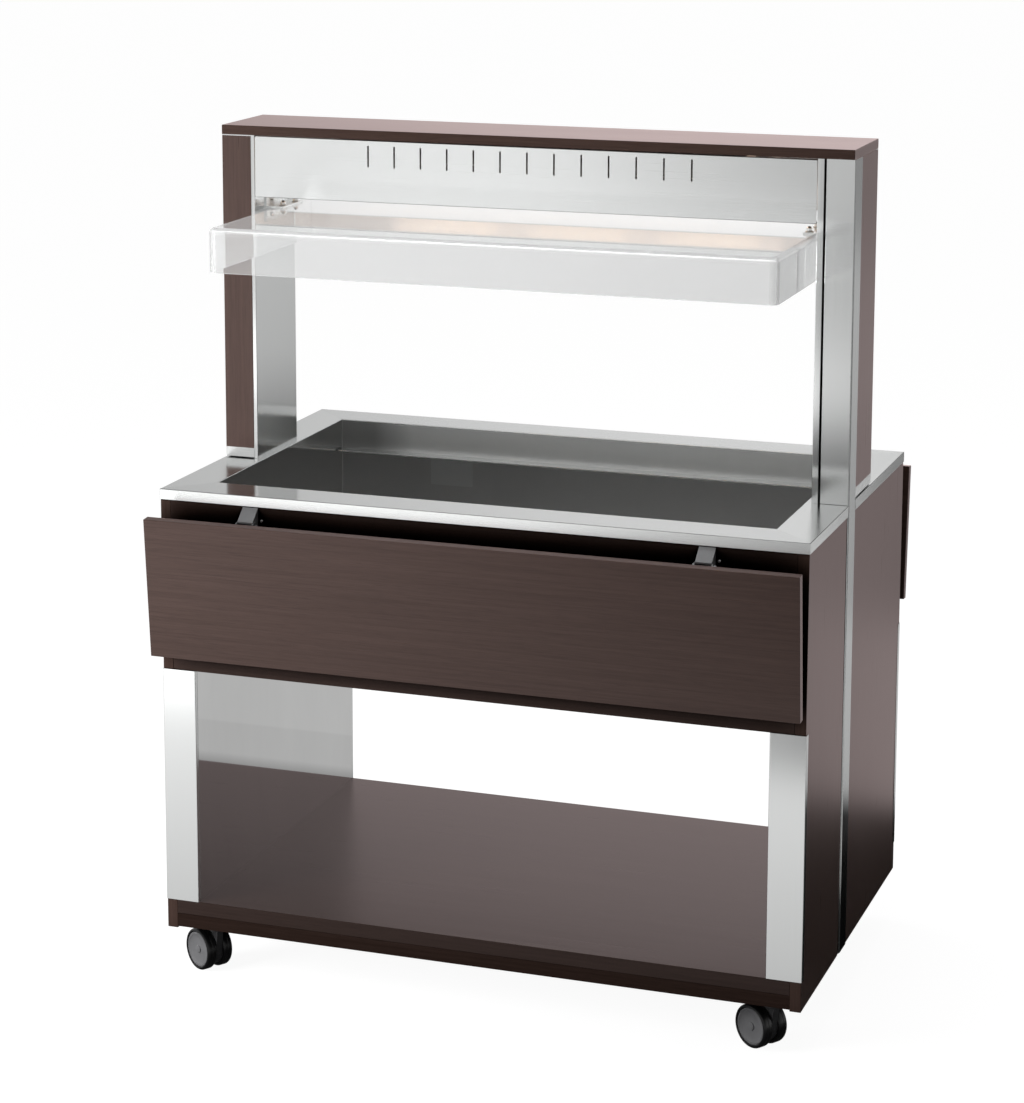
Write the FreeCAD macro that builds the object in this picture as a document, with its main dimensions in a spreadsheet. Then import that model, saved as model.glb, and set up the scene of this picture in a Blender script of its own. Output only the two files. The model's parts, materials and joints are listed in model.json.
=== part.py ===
import FreeCAD, Part
import os
import re
import Sketcher

# Carving and buffet trolley: a wood-grain body with an open compartment on four twin-wheel casters,
# a steel counter frame round a pan well, a bridge of two posts with a canopy, fascias, lamps and a clear
# guard, and a fold-down shelf in front and behind.
#
# Millimetres. The origin is on the floor at the middle of the footprint, +Z is up, +X is to the right of
# someone who stands in front, and the front (the guests' side) faces -Y. The two posts are half-turn
# copies of each other: the right one has its upright in front, the left one has it behind.

SIZES = {
    # overall
    "overall_width": 1140,
    "body_depth": 724,
    "counter_height": 886,
    "bridge_height": 598.5,
    "ground_clearance": 100,
    # counter frame and well
    "rim_edge": 18,
    "rim_sheet": 1.5,
    "rim_round": 1.2,
    "mitre_gap": 0.2,
    "cut_margin": 5,
    "rim_end_width": 74,
    "rim_side_width": 77.5,
    "well_depth": 230,
    "well_sheet": 1.5,
    "ledge_width": 27,
    "ledge_thickness": 3,
    "ledge_drop": 54,
    "ledge_end_gap": 3,
    "cover_width": 84,
    "cover_height": 54,
    "cover_thickness": 1.5,
    "cover_inset": 223,
    "cover_drop": 58,
    "heater_count": 3,
    "heater_gap": 30,
    "heater_inset": 44.5,
    "heater_thickness": 8,
    "insulation_thickness": 20,
    "insulation_height": 200,
    # boards of the body
    "upper_box_height": 301,
    "panel_thickness": 19,
    "panel_setback": 1,
    "panel_drop": 3,
    "apron_thickness": 19,
    "box_bottom_thickness": 16,
    "base_thickness": 49,
    "shelf_thickness": 25,
    "rail_thickness": 16,
    "caster_rail_width": 80,
    "edge_round": 0.8,
    # compartment walls
    "wall_thickness": 60,
    "lining_sheet": 1.2,
    "lining_board_thickness": 10,
    "cap_sheet": 1,
    "cap_outer_return": 14,
    "cap_inner_return": 8,
    "lining_gap": 0.5,
    # uprights and posts
    "post_depth": 178,
    "post_inset": 64,
    "post_panel_depth": 11,
    "post_lap": 7,
    "post_sheet": 1.2,
    "post_head": 2,
    "post_board_thickness": 16,
    "post_board_setback": 2,
    "plinth_float": 2,
    "plinth_height": 17,
    "plinth_sheet": 2,
    "upright_width": 48,
    "upright_depth": 51,
    "upright_wall": 2,
    "strip_thickness": 1.2,
    "strip_step": 5,
    "strip_gap": 7,
    "board_gap": 1,
    "notch_clearance": 2,
    # canopy, fascias and lamps
    "canopy_thickness": 16.5,
    "canopy_end_setback": 2,
    "canopy_lip": 1,
    "fascia_height": 107.4,
    "fascia_sheet": 1.2,
    "fascia_return": 12,
    "fascia_end_gap": 1,
    "slot_width": 3,
    "slot_height": 38,
    "slot_count": 13,
    "slot_row_inset": 214,
    "slot_margin": 8,
    "reflector_inset": 135,
    "reflector_top": 50,
    "reflector_mouth": 110,
    "reflector_height": 70,
    "reflector_sheet": 1.5,
    "lamp_count": 3,
    "lamp_spacing": 20,
    "lamp_radius": 6,
    "lamp_drop": 42,
    "socket_length": 18,
    "socket_width": 22,
    "socket_overhang": 9,
    # guard
    "guard_end_gap": 9,
    "guard_front_inset": 49,
    "guard_rear_overhang": 44,
    "guard_below_fascia": 24.6,
    "guard_lip": 77,
    "guard_sheet": 6,
    "guard_corner": 14,
    "guard_bend": 9,
    "angle_width": 34,
    "angle_depth": 92,
    "angle_upstand": 22,
    "angle_sheet": 3,
    "angle_shift": 2,
    "bolt_inset": 27,
    "bolt_pitch": 57,
    "bolt_radius": 3,
    "bolt_hole_clearance": 0.4,
    "bolt_head_radius": 5.5,
    "bolt_head_height": 4,
    "nut_radius": 5.5,
    "nut_height": 8,
    "screw_head_radius": 4,
    "screw_head_height": 2.5,
    # fold-down shelves and their brackets
    "flap_drop": 246,
    "flap_thickness": 17,
    "flap_tilt": 4.9,
    "flap_rim_gap": 3,
    "pivot_forward": 17,
    "pivot_drop": 49,
    "bracket_inset": 169,
    "leg_width": 28,
    "leg_depth": 24,
    "leg_sheet": 1.5,
    "leg_length": 212,
    "leg_top_drop": 20,
    "leg_hood_fall": 20,
    "hood_sheet": 3,
    "leg_neck_drop": 8,
    "leg_foot_depth": 14,
    "arm_play": 0.5,
    "arm_length": 150,
    "arm_heel": 8,
    "arm_nose": 7,
    "arm_slope": 3,
    "arm_tail_depth": 14,
    "arm_sheet": 1.5,
    "stay_length": 104,
    "stay_along": 64,
    "stay_out": 10,
    "stay_width": 18,
    "stay_bar": 4,
    "stay_eye": 6,
    "rivet_radius": 3,
    "rivet_head_radius": 4.5,
    "rivet_head": 3,
    "pin_clearance": 0.05,
    # casters
    "caster_inset": 65,
    "caster_swivel": 32,
    "caster_trail": 25,
    "plate_side": 60,
    "plate_thickness": 3,
    "boss_radius": 18,
    "boss_height": 7,
    "swivel_gap": 0.5,
    "neck_radius": 14,
    "neck_height": 13,
    "hood_thickness": 12.6,
    "hood_radius": 31,
    "wheel_radius": 37.5,
    "wheel_gap": 14,
    "tyre_width": 19,
    "tyre_thickness": 6,
    "tyre_round": 4.5,
    "hub_setback": 1.2,
    "hub_chamfer": 1.5,
    "axle_radius": 4,
    # switch and inlet
    "switch_width": 24,
    "switch_height": 18,
    "switch_depth": 20,
    "switch_wall": 2,
    "bezel_border": 3,
    "bezel_thickness": 2,
    "switch_inset": 75,
    "switch_above_edge": 50,
    "rocker_play": 0.3,
    "rocker_tilt": 8,
    "rocker_back": 4,
    "rocker_dip": 4,
    "rocker_tip": 6,
    "rocker_half_height": 6.4,
    "rocker_sink": 4,
    "inlet_radius": 13,
    "inlet_flange": 4,
    "inlet_nose_radius": 9,
    "inlet_nose": 16,
    "inlet_bore": 4.5,
    "inlet_inset": 110,
    "inlet_above_edge": 16,
}

# Places that follow from the sizes, written as formulas.
PLACES = {
    "half_width": "overall_width / 2",
    "half_depth": "body_depth / 2",
    "rim_top": "counter_height",
    "rim_under": "rim_top - rim_edge",
    "box_under": "rim_under - upper_box_height",
    "base_under": "ground_clearance",
    "shelf_top": "base_under + base_thickness",
    "shelf_under": "shelf_top - shelf_thickness",
    "panel_face": "half_width - panel_setback",
    "panel_back": "panel_face - panel_thickness",
    "board_front": "half_depth - panel_setback",
    "apron_back": "board_front - apron_thickness",
    "wall_inner": "half_width - wall_thickness",
    "well_half_length": "half_width - rim_end_width",
    "well_half_width": "half_depth - rim_side_width",
    "heater_pitch": "2 * well_half_length / heater_count",
    "heater_reach": "well_half_width - heater_inset",
    "cover_shift": "well_half_length - cover_inset",
    "sheet_under": "rim_top - rim_sheet",
    "tub_floor": "rim_top - well_depth",
    "tub_under": "tub_floor - well_sheet",
    "ledge_top": "rim_top - ledge_drop",
    "heater_under": "tub_under - heater_thickness",
    "post_half": "post_depth / 2",
    "post_inner": "half_width - post_inset",
    "post_panel_back": "post_inner + post_panel_depth",
    "post_face": "half_width - post_board_setback",
    "post_lap_back": "post_inner + post_lap",
    "plinth_foot": "rim_top + plinth_float",
    "upright_outer": "half_width - strip_thickness",
    "upright_inner": "upright_outer - upright_width",
    "upright_end": "upright_depth - post_half",
    "canopy_top": "rim_top + bridge_height",
    "canopy_under": "canopy_top - canopy_thickness",
    "post_top": "canopy_under - post_head",
    "fascia_top": "post_top",
    "fascia_edge": "fascia_top - fascia_height",
    "fascia_half": "post_inner - fascia_end_gap",
    "slot_reach": "fascia_half - slot_row_inset",
    "reflector_reach": "fascia_half - reflector_inset",
    "lamp_height": "canopy_under - lamp_drop",
    "lamp_pitch": "2 * reflector_reach / lamp_count",
    "lamp_length": "lamp_pitch - 2 * socket_length - lamp_spacing",
    "guard_half": "post_inner - guard_end_gap",
    "guard_front": "half_depth - guard_front_inset",
    "guard_rear": "post_half + guard_rear_overhang",
    "guard_top": "fascia_edge - guard_below_fascia",
    "guard_edge": "guard_top - guard_lip",
    "bolt_across": "post_inner - bolt_inset",
    "pivot_out": "half_depth + pivot_forward",
    "pivot_height": "rim_top - pivot_drop",
    "flap_above_pivot": "pivot_forward - flap_rim_gap",
    "flap_inner": "pivot_drop - flap_thickness",
    "bracket_across": "half_width - bracket_inset",
    "arm_half": "leg_width / 2 + arm_play + arm_sheet",
    "stem_across": "half_width - caster_inset",
    "stem_along": "half_depth - caster_inset",
    "plate_under": "base_under - plate_thickness",
    "boss_under": "plate_under - boss_height",
    "switch_shift": "fascia_half - switch_inset",
    "switch_level": "fascia_edge + switch_above_edge",
    "inlet_shift": "half_width - inlet_inset",
    "inlet_level": "box_under + inlet_above_edge",
}

WORD = re.compile(r"[a-z]+(?:_[a-z]+)+")
SIDES = {"left": -1, "right": 1}
ENDS = {"front": -1, "rear": 1}

doc = FreeCAD.newDocument("CarvingTrolley")
sheet = doc.addObject("Spreadsheet::Sheet", "Sizes")
for row, (alias, size) in enumerate(SIZES.items(), start=1):
    sheet.set(f"A{row}", alias.replace("_", " "))
    sheet.set(f"B{row}", str(size))
    sheet.setAlias(f"B{row}", alias)
doc.recompute()

nodes = []


def spell(text):
    """The formula with every place written out in driving sizes."""
    def swap(match):
        name = match.group()
        return f"({spell(PLACES[name])})" if name in PLACES else name
    return WORD.sub(swap, str(text))


def bound(text):
    """The formula as an expression that reads the sheet's cells."""
    def swap(match):
        name = match.group()
        return f"Sizes.{name}" if name in SIZES else name
    return WORD.sub(swap, spell(text))


def number(text):
    """The formula's value now."""
    return float(sheet.evalExpression(spell(text)))


def times(sign, text):
    """The formula on the side that the sign names."""
    return f"({text})" if sign > 0 else f"-({text})"


def span(sign, near, far):
    """Low and high formulas of a stretch that lies from near to far on one side of the middle."""
    return (f"{near}", f"{far}") if sign > 0 else (f"-({far})", f"-({near})")


def node(thing, name):
    """Marks a document object as a sub-part: its label names its file."""
    thing.Label = name
    nodes.append(thing)
    return thing


def place(thing, x="0", y="0", z="0", axis=None, angle="0"):
    """Binds the placement of an object, with a turn about one axis."""
    if axis:
        thing.Placement = FreeCAD.Placement(FreeCAD.Vector(), FreeCAD.Rotation(FreeCAD.Vector(*axis), 1))
        thing.setExpression("Placement.Rotation.Angle", bound(angle))
    thing.setExpression("Placement.Base.x", bound(x))
    thing.setExpression("Placement.Base.y", bound(y))
    thing.setExpression("Placement.Base.z", bound(z))
    return thing


def box(name, x, y, z):
    """A plain board or bar between low and high formulas along each axis."""
    solid = doc.addObject("Part::Box", name)
    for side, (low, high) in {"Length": x, "Width": y, "Height": z}.items():
        solid.setExpression(side, bound(f"({high}) - ({low})"))
    return place(solid, x[0], y[0], z[0])


def group(name, members):
    """Several separate solids that share one node."""
    compound = doc.addObject("Part::Compound", name)
    compound.Links = members
    return node(compound, name)


def new_body(name):
    return doc.addObject("PartDesign::Body", name)


def sketch_on(body, plane, offset):
    """A sketch on one of the body's own planes, moved along the plane's normal."""
    sketch = body.newObject("Sketcher::SketchObject", f"{body.Name}_sketch")
    face = next(f for f in body.Origin.OriginFeatures if f.Role == f"{plane}_Plane")
    sketch.AttachmentSupport = [(face, "")]
    sketch.MapMode = "FlatFace"
    sketch.setExpression("AttachmentOffset.Base.z", bound(offset))
    return sketch


def pin_point(sketch, geometry, vertex, across, up, tag):
    """Ties a point of the sketch to formulas for its two coordinates."""
    for kind, axis, letter, text in (("DistanceX", -2, "u", across), ("DistanceY", -1, "v", up)):
        if text == "0":
            sketch.addConstraint(Sketcher.Constraint("PointOnObject", geometry, vertex, axis))
            continue
        index = sketch.addConstraint(Sketcher.Constraint(kind, -1, 1, geometry, vertex, number(text)))
        sketch.renameConstraint(index, f"{letter}{tag}")
        sketch.setExpression(f"Constraints.{letter}{tag}", bound(text))


def draw_outline(sketch, points):
    """A closed outline of straight lines through points that are pairs of formulas."""
    corners = [FreeCAD.Vector(number(across), number(up), 0) for across, up in points]
    count = len(points)
    first = sketch.GeometryCount
    for index, corner in enumerate(corners):
        sketch.addGeometry(Part.LineSegment(corner, corners[(index + 1) % count]))
    for index in range(count):
        following = first + (index + 1) % count
        sketch.addConstraint(Sketcher.Constraint("Coincident", first + index, 2, following, 1))
    for index, (across, up) in enumerate(points):
        pin_point(sketch, first + index, 1, across, up, first + index)


def draw_circle(sketch, across, up, radius):
    """A circle with formulas for its centre and radius."""
    centre = FreeCAD.Vector(number(across), number(up), 0)
    index = sketch.addGeometry(Part.Circle(centre, FreeCAD.Vector(0, 0, 1), number(radius)))
    rule = sketch.addConstraint(Sketcher.Constraint("Radius", index, number(radius)))
    sketch.renameConstraint(rule, f"r{index}")
    sketch.setExpression(f"Constraints.r{index}", bound(radius))
    pin_point(sketch, index, 3, across, up, index)


def rectangle(low_u, high_u, low_v, high_v):
    return [(low_u, low_v), (high_u, low_v), (high_u, high_v), (low_u, high_v)]


def sweep(body, plane, low, high, outlines=(), circles=(), cut=False):
    """Pads or pockets outlines between two levels along the normal of one of the body's planes.

    Outlines on XY are (x, y) pairs, on YZ (y, z) pairs, and on XZ (x, z) pairs, whose normal is -Y."""
    start = f"-({high})" if plane == "XZ" else low
    sketch = sketch_on(body, plane, start)
    for points in outlines:
        draw_outline(sketch, points)
    for circle in circles:
        draw_circle(sketch, *circle)
    before = body.Shape.Volume if cut else 0
    feature = body.newObject("PartDesign::Pocket" if cut else "PartDesign::Pad", f"{body.Name}_sweep")
    feature.Profile = sketch
    feature.setExpression("Length", bound(f"({high}) - ({low})"))
    feature.Reversed = cut
    doc.recompute()
    if cut and not body.Shape.Volume < before - 1e-6:
        raise RuntimeError(f"{body.Name}: the pocket cuts nothing")
    return feature


def dress(body, kind, size, wanted):
    """Rounds or chamfers the edges of the body's tip for which wanted(edge) is true."""
    tip = body.Tip
    names = [f"Edge{i}" for i, edge in enumerate(tip.Shape.Edges, start=1) if wanted(edge)]
    feature = body.newObject(f"PartDesign::{kind}", f"{body.Name}_{kind}")
    feature.Base = (tip, names)
    feature.setExpression("Radius" if kind == "Fillet" else "Size", bound(size))
    doc.recompute()
    return feature


def level_at(edge, axis, text):
    """Whether both ends of an edge lie at a formula's value along one axis."""
    return all(abs(getattr(v.Point, axis) - number(text)) < 0.01 for v in edge.Vertexes)


def upright_edge(edge):
    low, high = (vertex.Point for vertex in (edge.Vertexes[0], edge.Vertexes[-1]))
    return abs(low.x - high.x) < 0.01 and abs(low.y - high.y) < 0.01 and abs(low.z - high.z) > 0.01


def turned(sign, points):
    """An outline on the XY plane, turned half round for the other side."""
    return [(times(sign, x), times(sign, y)) for x, y in points]


def eased_board(name, x, y, z):
    """A laminated board whose edges are slightly rounded."""
    body = node(new_body(name), name)
    sweep(body, "XY", z[0], z[1], [rectangle(*x, *y)])
    dress(body, "Fillet", "edge_round", lambda edge: True)
    return body


def notched(half_x, half_y):
    """Outline of a board that fits between the side panels, notched round both uprights."""
    deep = "upright_inner - notch_clearance"
    near = "-post_half - notch_clearance"
    far = "upright_end + notch_clearance"
    half = [(half_x, f"-({half_y})"), (half_x, near), (deep, near), (deep, far), (half_x, far),
            (half_x, half_y)]
    return half + turned(-1, half)


# ---------------------------------------------------------------- base and compartment

def make_base():
    shelf = node(new_body("shelf_board"), "shelf_board")
    sweep(shelf, "XY", "shelf_under", "shelf_top", [notched("panel_back", "board_front")])
    dress(shelf, "Fillet", "edge_round",
          lambda edge: level_at(edge, "y", "board_front") or level_at(edge, "y", "-board_front"))
    rails = []
    level = ("base_under", "shelf_under")
    rail_back = "board_front - rail_thickness"
    for end, sign in ENDS.items():
        rails.append(box(f"rail_{end}", ("-panel_back", "panel_back"), span(sign, rail_back, "board_front"),
                         level))
    for side, sign in SIDES.items():
        across = span(sign, "stem_across - caster_rail_width / 2", "stem_across + caster_rail_width / 2")
        rails.append(box(f"caster_rail_{side}", across, (f"-({rail_back})", rail_back), level))
    group("base_frame", rails)


def make_side_panels():
    across = ("panel_back", "panel_face")
    level = ("base_under - panel_drop", "rim_under")
    before_upright = "post_half + strip_gap"
    behind_upright = "upright_end + board_gap"
    for side, sign in SIDES.items():
        x = span(sign, *across)
        ahead = ("-board_front", f"-({before_upright})")
        behind = (behind_upright, "board_front")
        if sign < 0:
            ahead, behind = ("-board_front", f"-({behind_upright})"), (before_upright, "board_front")
        eased_board(f"side_panel_{side}_front", x, ahead, level)
        eased_board(f"side_panel_{side}_rear", x, behind, level)


def make_walls():
    level = ("shelf_top", "box_under")
    boards = []
    caps = []
    for side, sign in SIDES.items():
        lining_reach = "half_depth - cap_inner_return - lining_gap"
        lining = box(f"lining_{side}", span(sign, "wall_inner - lining_sheet", "wall_inner"),
                     (f"-({lining_reach})", lining_reach), level)
        node(lining, f"lining_{side}")
        across = span(sign, "wall_inner", "wall_inner + lining_board_thickness")
        boards.append(box(f"lining_board_{side}", across, ("-board_front", "board_front"), level))
        for end, way in ENDS.items():
            body = new_body(f"cap_{side}_{end}")
            outer, inner = "half_width", "wall_inner - cap_sheet"
            profile = [
                (outer, "half_depth - cap_outer_return"),
                (outer, "half_depth"),
                (inner, "half_depth"),
                (inner, "half_depth - cap_inner_return"),
                (f"{inner} + cap_sheet", "half_depth - cap_inner_return"),
                (f"{inner} + cap_sheet", "half_depth - cap_sheet"),
                (f"{outer} - cap_sheet", "half_depth - cap_sheet"),
                (f"{outer} - cap_sheet", "half_depth - cap_outer_return"),
            ]
            points = [(times(sign, x), times(way, y)) for x, y in profile]
            sweep(body, "XY", *level, [points])
            caps.append(body)
    group("lining_boards", boards)
    group("wall_caps", caps)


def make_upper_box():
    for end, sign in ENDS.items():
        eased_board(f"apron_{end}", ("-panel_back", "panel_back"), span(sign, "apron_back", "board_front"),
                    ("box_under", "rim_under"))
    bottom = node(new_body("box_bottom"), "box_bottom")
    sweep(bottom, "XY", "box_under", "box_under + box_bottom_thickness",
          [notched("panel_back", "apron_back")])


def make_uprights():
    for side, sign in SIDES.items():
        body = node(new_body(f"upright_{side}"), f"upright_{side}")
        tube = rectangle("upright_inner", "upright_outer", "-post_half", "upright_end")
        bore = rectangle("upright_inner + upright_wall", "upright_outer - upright_wall",
                         "upright_wall - post_half", "upright_end - upright_wall")
        strip = rectangle("upright_outer", "half_width", "strip_step - post_half", "upright_end")
        tail = rectangle("stem_across + caster_rail_width / 2 + notch_clearance", "upright_outer",
                         "-post_half", "upright_end")
        sweep(body, "XY", "shelf_under", "canopy_under", [turned(sign, tube), turned(sign, bore)])
        sweep(body, "XY", "base_under - panel_drop", "canopy_under", [turned(sign, strip)])
        sweep(body, "XY", "base_under - panel_drop", "shelf_under", [turned(sign, tail)])


# ---------------------------------------------------------------- counter frame and well

def make_rims():
    for end, sign in ENDS.items():
        body = node(new_body(f"rim_{end}"), f"rim_{end}")
        outer_x, inner_x = "half_width - mitre_gap", "well_half_length - mitre_gap"
        outer_y, inner_y = times(sign, "half_depth"), times(sign, "well_half_width")
        points = [(f"-({outer_x})", outer_y), (outer_x, outer_y),
                  (inner_x, inner_y), (f"-({inner_x})", inner_y)]
        sweep(body, "XY", "rim_under", "rim_top", [points])
        across = "half_width + cut_margin"
        hollow = rectangle(f"-({across})", across,
                           *span(sign, "well_half_width - cut_margin", "half_depth - rim_sheet"))
        sweep(body, "XY", "rim_under", "sheet_under", [hollow], cut=True)
        dress(body, "Fillet", "rim_round", lambda edge, sign=sign: level_at(edge, "z", "rim_top")
              and level_at(edge, "y", times(sign, "half_depth")))
    for side, sign in SIDES.items():
        body = node(new_body(f"rim_{side}"), f"rim_{side}")
        points = [("half_width", "-half_depth"), ("half_width", "half_depth"),
                  ("well_half_length", "well_half_width"), ("well_half_length", "-well_half_width")]
        sweep(body, "XY", "rim_under", "rim_top", [turned(sign, points)])
        along = "half_depth + cut_margin"
        hollow = rectangle("well_half_length - cut_margin", "half_width - rim_sheet", f"-({along})", along)
        sweep(body, "XY", "rim_under", "sheet_under", [turned(sign, hollow)], cut=True)
        dress(body, "Fillet", "rim_round", lambda edge, sign=sign: level_at(edge, "z", "rim_top")
              and level_at(edge, "x", times(sign, "half_width")))
        notch = rectangle("upright_inner - notch_clearance", "half_width + cut_margin",
                          "-post_half - notch_clearance", "upright_end + notch_clearance")
        sweep(body, "XY", "rim_under", "rim_top", [turned(sign, notch)], cut=True)


def make_well():
    tub = node(new_body("well_tub"), "well_tub")
    outer_x, outer_y = "well_half_length + well_sheet", "well_half_width + well_sheet"
    sweep(tub, "XY", "tub_under", "sheet_under",
          [rectangle(f"-({outer_x})", outer_x, f"-({outer_y})", outer_y)])
    inside = rectangle("-well_half_length", "well_half_length", "-well_half_width", "well_half_width")
    sweep(tub, "XY", "tub_floor", "sheet_under", [inside], cut=True)
    ledges = []
    reach = "well_half_length - ledge_end_gap"
    for end, sign in ENDS.items():
        ledges.append(box(f"ledge_{end}", (f"-({reach})", reach),
                          span(sign, "well_half_width - ledge_width", "well_half_width"),
                          ("ledge_top - ledge_thickness", "ledge_top")))
    group("well_ledges", ledges)
    cover = box("well_cover_plate",
                ("-cover_shift - cover_width / 2", "cover_width / 2 - cover_shift"),
                ("well_half_width - cover_thickness", "well_half_width"),
                ("rim_top - cover_drop - cover_height", "rim_top - cover_drop"))
    node(cover, "well_cover_plate")
    heaters = []
    for step in range(SIZES["heater_count"]):
        middle = f"heater_pitch * ({step} - (heater_count - 1) / 2)"
        half_length = "(heater_pitch - heater_gap) / 2"
        heaters.append(box(f"heater_{step + 1}", (f"{middle} - {half_length}", f"{middle} + {half_length}"),
                           ("-heater_reach", "heater_reach"), ("heater_under", "tub_under")))
    group("heating_plates", heaters)
    slabs = []
    side_level = ("tub_under", "tub_under + insulation_height")
    for end, sign in ENDS.items():
        slabs.append(box(f"insulation_{end}", (f"-({outer_x})", outer_x),
                         span(sign, outer_y, f"{outer_y} + insulation_thickness"), side_level))
    for side, sign in SIDES.items():
        slabs.append(box(f"insulation_{side}", span(sign, outer_x, f"{outer_x} + insulation_thickness"),
                         (f"-({outer_y})", outer_y), side_level))
    slabs.append(box("insulation_floor", (f"-({outer_x})", outer_x), (f"-({outer_y})", outer_y),
                     ("heater_under - insulation_thickness", "heater_under")))
    group("insulation_boards", slabs)


# ---------------------------------------------------------------- posts, canopy and lamps

def make_posts():
    """Each post is a steel channel inwards, the upright at one edge, and a board round the rest."""
    plinths = []
    for side, sign in SIDES.items():
        panel = node(new_body(f"post_panel_{side}"), f"post_panel_{side}")
        sheet_back = "post_inner + post_sheet"
        near, far = "post_sheet - post_half", "post_half - post_sheet"
        channel = [
            ("post_inner", "-post_half"), ("post_panel_back", "-post_half"), ("post_panel_back", near),
            (sheet_back, near), (sheet_back, far), ("post_lap_back", far), ("post_lap_back", "post_half"),
            ("post_inner", "post_half"),
        ]
        behind = "upright_end + board_gap"
        board_back = "post_face - post_board_thickness"
        board_inside = "post_half - post_board_thickness"
        head = [
            ("post_inner", "-post_half"), ("post_panel_back", "-post_half"), ("post_panel_back", behind),
            (board_back, behind), (board_back, board_inside), ("post_face", board_inside),
            ("post_face", "post_half"), ("post_inner", "post_half"),
        ]
        sweep(panel, "XY", "rim_top", "post_top", [turned(sign, channel)])
        sweep(panel, "XY", "post_top", "canopy_under", [turned(sign, head)])

        board = node(new_body(f"post_board_{side}"), f"post_board_{side}")
        corner = [
            ("post_face", behind), ("post_face", "post_half"), ("post_lap_back", "post_half"),
            ("post_lap_back", board_inside), (board_back, board_inside), (board_back, behind),
        ]
        sweep(board, "XY", "plinth_foot + plinth_height", "post_top", [turned(sign, corner)])
        dress(board, "Fillet", "edge_round", upright_edge)
        outer_leaf = rectangle(board_back, "post_face - edge_round", behind, board_inside)
        sweep(board, "XY", "post_top", "canopy_under", [turned(sign, outer_leaf)])

        plinth = new_body(f"plinth_{side}")
        shoe = rectangle("post_lap_back", "post_face", "upright_end", "post_half")
        inside = rectangle("post_lap_back + plinth_sheet", "post_face - plinth_sheet",
                           "upright_end + plinth_sheet", "post_half - plinth_sheet")
        top = "plinth_foot + plinth_height"
        sweep(plinth, "XY", "plinth_foot", top, [turned(sign, shoe)])
        sweep(plinth, "XY", "plinth_foot", f"{top} - plinth_sheet", [turned(sign, inside)], cut=True)
        plinths.append(plinth)
    group("post_plinths", plinths)


def make_canopy():
    reach = "half_width - canopy_end_setback"
    lip = "post_half + canopy_lip"
    eased_board("canopy_board", (f"-({reach})", reach), (f"-({lip})", lip), ("canopy_under", "canopy_top"))


def make_fascias():
    for end, sign in ENDS.items():
        body = node(new_body(f"fascia_{end}"), f"fascia_{end}")
        face, back = "post_half", "post_half - fascia_sheet"
        fold = "post_half - fascia_return"
        high, low = "fascia_top - fascia_sheet", "fascia_edge + fascia_sheet"
        channel = [
            (face, "fascia_edge"), (face, "fascia_top"), (fold, "fascia_top"), (fold, high), (back, high),
            (back, low), (fold, low), (fold, "fascia_edge"),
        ]
        profile = [(times(sign, y), z) for y, z in channel]
        sweep(body, "YZ", "-fascia_half", "fascia_half", [profile])
        slot = rectangle("-slot_reach - slot_width / 2", "slot_width / 2 - slot_reach",
                         "fascia_top - slot_margin - slot_height", "fascia_top - slot_margin")
        pocket = sweep(body, "XZ", *span(sign, back, face), [slot], cut=True)
        row = body.newObject("PartDesign::LinearPattern", f"{body.Name}_slots")
        row.Originals = [pocket]
        row.Direction = (pocket.Profile[0], ["H_Axis"])
        row.setExpression("Length", bound("2 * slot_reach"))
        row.setExpression("Occurrences", bound("slot_count"))
        body.Tip = row
        doc.recompute()
        if sign > 0:
            opening = rectangle("switch_shift - switch_width / 2", "switch_shift + switch_width / 2",
                                "switch_level - switch_height / 2", "switch_level + switch_height / 2")
            sweep(body, "XZ", back, face, [opening], cut=True)


def make_lamps():
    reflector = node(new_body("lamp_reflector"), "lamp_reflector")
    crown, mouth, lip = "reflector_top / 2", "reflector_mouth / 2", "canopy_under - reflector_height"
    half = [(crown, "canopy_under"), (mouth, lip), (f"{mouth} - reflector_sheet", lip),
            (f"{crown} - reflector_sheet", "canopy_under - reflector_sheet")]
    profile = half + [(f"-({y})", z) for y, z in reversed(half)]
    sweep(reflector, "YZ", "-reflector_reach", "reflector_reach", [profile])
    pieces = []
    for step in range(SIZES["lamp_count"]):
        middle = f"(lamp_pitch * ({step} - (lamp_count - 1) / 2))"
        tube = doc.addObject("Part::Cylinder", f"lamp_{step + 1}")
        tube.setExpression("Radius", bound("lamp_radius"))
        tube.setExpression("Height", bound("lamp_length"))
        place(tube, f"{middle} - lamp_length / 2", "0", "lamp_height", (0, 1, 0), "90")
        pieces.append(tube)
        for sign in (-1, 1):
            near, far = "lamp_length / 2", "lamp_length / 2 + socket_length"
            low, high = span(sign, near, far)
            pieces.append(box(f"socket_{step + 1}{'a' if sign < 0 else 'b'}",
                              (f"{middle} + {low}", f"{middle} + {high}"),
                              ("-socket_width / 2", "socket_width / 2"),
                              ("lamp_height - socket_overhang", "canopy_under - reflector_sheet")))
    group("heat_lamps", pieces)


# ---------------------------------------------------------------- guard

def make_guard():
    guard = node(new_body("guard"), "guard")
    front, rear, bottom = "-guard_front", "guard_rear", "guard_edge"
    sweep(guard, "XY", bottom, "guard_top", [rectangle("-guard_half", "guard_half", front, rear)])
    dress(guard, "Fillet", "guard_corner", lambda edge: upright_edge(edge) and level_at(edge, "y", front))
    dress(guard, "Fillet", "guard_bend", lambda edge: min(v.Point.z for v in edge.Vertexes) >
          number("guard_top") - 0.01 and not level_at(edge, "y", rear))
    shell = body_shell(guard, "guard_sheet", bottom, rear)
    place_holes(shell)


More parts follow.
